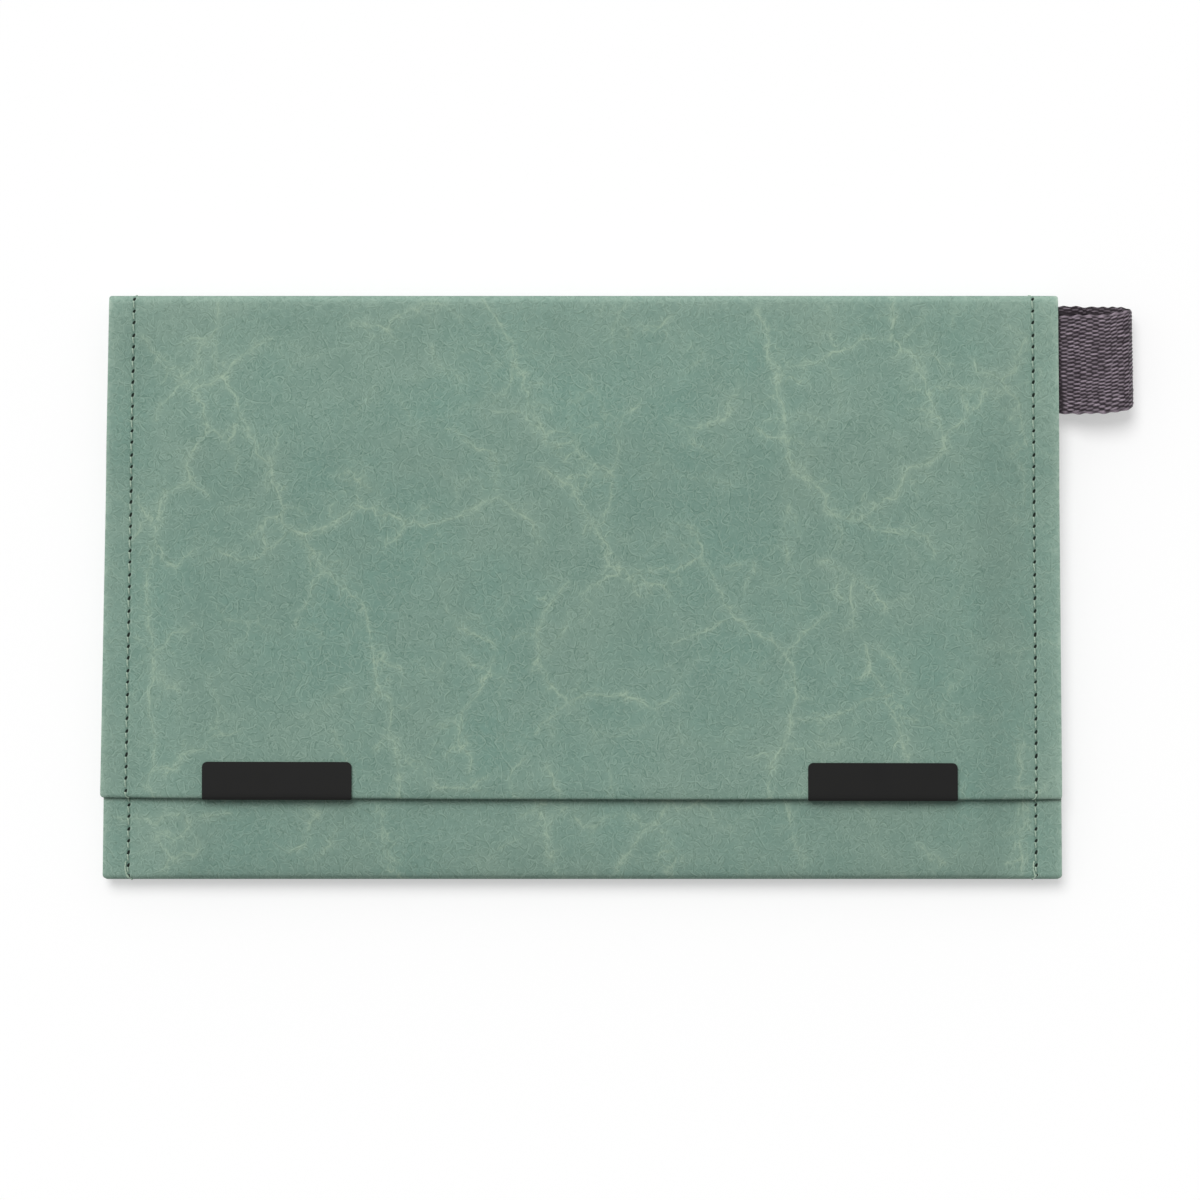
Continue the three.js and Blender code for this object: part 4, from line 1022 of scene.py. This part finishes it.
# Flap clips
# Two clips of 0.6 mm steel strip, bent to a U over the flap's free edge and pinched shut, with their outer
# corners rounded. They are coated satin black and are drawn to the magnets behind the front.

CLIP_LEFT_X, CLIP_RIGHT_X = -76.0, 74.8
CLIP_HALF_WIDTH = 18.6
CLIP_SHEET, CLIP_RIM = 0.6, 0.2
CLIP_BEND = 0.8
CLIP_FACE_Y = -53.15
CLIP_TOP_Y, CLIP_INNER_TOP_Y = -43.65, -46.25
CLIP_TOP_Z, CLIP_BOTTOM_Z = 12.3, 9.55
CLIP_CORNER = 1.3
CLIP_LOW_CORNER = 0.5

corner_depth = np.array([1.0, 0.8, 0.6, 0.42, 0.28, 0.16, 0.08, 0.02, 0.0])
leg_end_y = CLIP_FACE_Y + CLIP_BEND
quarter = np.linspace(0, math.pi / 2, 7)
inner_y = steps((CLIP_INNER_TOP_Y, leg_end_y, 1.0))
outer_y = np.concatenate([steps((leg_end_y, CLIP_TOP_Y - CLIP_CORNER, 1.0))[:-1],
                          CLIP_TOP_Y - CLIP_CORNER * corner_depth])
low_bend_y = leg_end_y - CLIP_BEND * np.sin(quarter)
low_bend_z = CLIP_BOTTOM_Z + CLIP_BEND * (1 - np.cos(quarter))
high_bend_z = CLIP_TOP_Z - (low_bend_z[::-1] - CLIP_BOTTOM_Z)
clip_y = np.concatenate([inner_y[:-1], low_bend_y, low_bend_y[::-1], outer_y[1:]])
clip_z = np.concatenate([np.full(len(inner_y) - 1, CLIP_BOTTOM_Z), low_bend_z, high_bend_z,
                         np.full(len(outer_y) - 1, CLIP_TOP_Z)])
on_outer_leg = np.arange(len(clip_y)) > len(inner_y) + len(quarter)
clip_half = CLIP_HALF_WIDTH - np.where(on_outer_leg, corner_cut(CLIP_TOP_Y - clip_y, CLIP_CORNER), 0)
clip_half = clip_half - corner_cut(clip_y - CLIP_FACE_Y, CLIP_LOW_CORNER)
clip_share = np.concatenate([[-1, -0.995, -0.985, -0.97], np.linspace(-0.94, 0.94, 34),
                             [0.97, 0.985, 0.995, 1]])

# Thin baked enamel on steel strip: even black with a fine pebble about 0.3 mm across that spreads highlights
satin_black_steel, tree, shader = new_material("satin_black_coated_steel")
place = add_node(tree, "TexCoord", output="Object")
pebble = add_node(tree, "TexNoise", Vector=place, Scale=1 / (0.3 * MM), Detail=2.0)
rubbing = add_node(tree, "TexNoise", Vector=place, Scale=1 / (9 * MM), Detail=3.0)
tint = add_node(tree, "Mix", TINT, 2, in_0=rubbing, in_6=linear("#0D0D0D"), in_7=linear("#131312"))
gloss = add_node(tree, "MapRange", in_0=rubbing, in_1=0.3, in_2=0.7, in_3=0.42, in_4=0.56)
relief = add_node(tree, "Bump", Strength=0.12, Distance=0.03 * MM, Height=pebble)
set_inputs(tree, shader, {"Base Color": tint, "Roughness": gloss, "Normal": relief,
                          "Specular IOR Level": 0.13})

for side_name, middle in (("left", CLIP_LEFT_X), ("right", CLIP_RIGHT_X)):
    x = middle + clip_half[:, None] * clip_share[None]
    y = clip_y[:, None] - EDGE_SLOPE * (x + POUCH_HALF_WIDTH)
    z = np.broadcast_to(clip_z[:, None], x.shape)
    clip = surface(f"edge_clip_{side_name}", [np.stack([x, y, z], axis=-1)], satin_black_steel)
    thicken(clip, CLIP_SHEET, CLIP_RIM)
    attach(clip, "flap")
    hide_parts(f"flap_clip_{side_name}")

# Floor, light and camera
# A white table, soft light from all round with a broad lamp high beyond the spine and a little to the left,
# and a camera almost straight above, as in the photograph.

FLOOR_HALF, FLOOR_Z = 1500.0, -0.05
FLOOR_WHITE, FLOOR_GLOW = 0.98, 0.45
AMBIENT = 0.42
AMBIENT_LEAN = (-0.35, 0.8, 0.0)
LAMP_ELEVATION = math.radians(60)
LAMP_AZIMUTH = math.radians(112)
LAMP_SPREAD = math.radians(34)
PLAIN_LEVEL = 1.02
CAMERA_TARGET = np.array((4.42, -3.29, 5.0))
CAMERA_DISTANCE = 1000.0
CAMERA_PITCH = math.radians(1.36)
CAMERA_LENS, CAMERA_SENSOR = 119.63, 36.0


def seen_or_mirrored(tree):
    """1 for rays from the camera, from mirrors and through glass, and 0 for rays that light other things."""
    seen = 0.0
    for kind in ("Is Camera Ray", "Is Glossy Ray", "Is Transmission Ray"):
        this_kind = add_node(tree, "LightPath", output=kind)
        seen = add_node(tree, "Math", "MAXIMUM", in_0=this_kind, in_1=seen)
    return seen


# Matt white sheet, lit from below like a light table as far as the camera and mirrors see, so that shadows
# stay light
white_table, tree, shader = new_material("white_table")
set_inputs(tree, shader, {"Base Color": (FLOOR_WHITE, FLOOR_WHITE, FLOOR_WHITE, 1.0), "Roughness": 0.9,
                          "Specular IOR Level": 0.0})
glow = add_node(tree, "Emission", Strength=1.0)
share = add_node(tree, "Math", "MULTIPLY", in_0=seen_or_mirrored(tree), in_1=FLOOR_GLOW)
lit = add_node(tree, "MixShader", in_0=share, in_1=shader.outputs[0], in_2=glow)
set_inputs(tree, tree.nodes["Material Output"], {"Surface": lit})
edge_x, edge_y = np.meshgrid((-FLOOR_HALF, FLOOR_HALF), (-FLOOR_HALF, FLOOR_HALF))
floor = surface("floor", [np.stack([edge_x, edge_y, np.full((2, 2), FLOOR_Z)], axis=-1)], white_table)

world = bpy.data.worlds.new("white_studio")
bpy.context.scene.world = world
world.use_nodes = True
tree = world.node_tree
heading = add_node(tree, "TexCoord", output="Generated")
lean = add_node(tree, "VectorMath", "DOT_PRODUCT", "Value", in_0=heading,
                in_1=[AMBIENT * share for share in AMBIENT_LEAN])
soft = add_node(tree, "Math", "ADD", in_0=lean, in_1=AMBIENT)
level = add_node(tree, "Mix", {"data_type": "FLOAT"}, in_0=seen_or_mirrored(tree), in_2=soft, in_3=1.0)
set_inputs(tree, tree.nodes["Background"], {"Color": (1.0, 1.0, 1.0, 1.0), "Strength": level})

lamp = bpy.data.lights.new("broad_lamp", "SUN")
lamp.energy = (PLAIN_LEVEL - AMBIENT) * math.pi / math.sin(LAMP_ELEVATION)
lamp.angle = LAMP_SPREAD
lamp_object = bpy.data.objects.new("broad_lamp", lamp)
lamp_object.rotation_euler = (0.0, math.pi / 2 - LAMP_ELEVATION, LAMP_AZIMUTH)
bpy.context.collection.objects.link(lamp_object)

camera = bpy.data.cameras.new("camera")
camera.lens = CAMERA_LENS
camera.sensor_width = CAMERA_SENSOR
camera_object = bpy.data.objects.new("camera", camera)
away = CAMERA_DISTANCE * np.array((0.0, -math.sin(CAMERA_PITCH), math.cos(CAMERA_PITCH)))
camera_object.location = (CAMERA_TARGET + away) * MM
camera_object.rotation_euler = (CAMERA_PITCH, 0.0, 0.0)
bpy.context.collection.objects.link(camera_object)
bpy.context.scene.camera = camera_object
bpy.context.scene.view_settings.view_transform = "Standard"
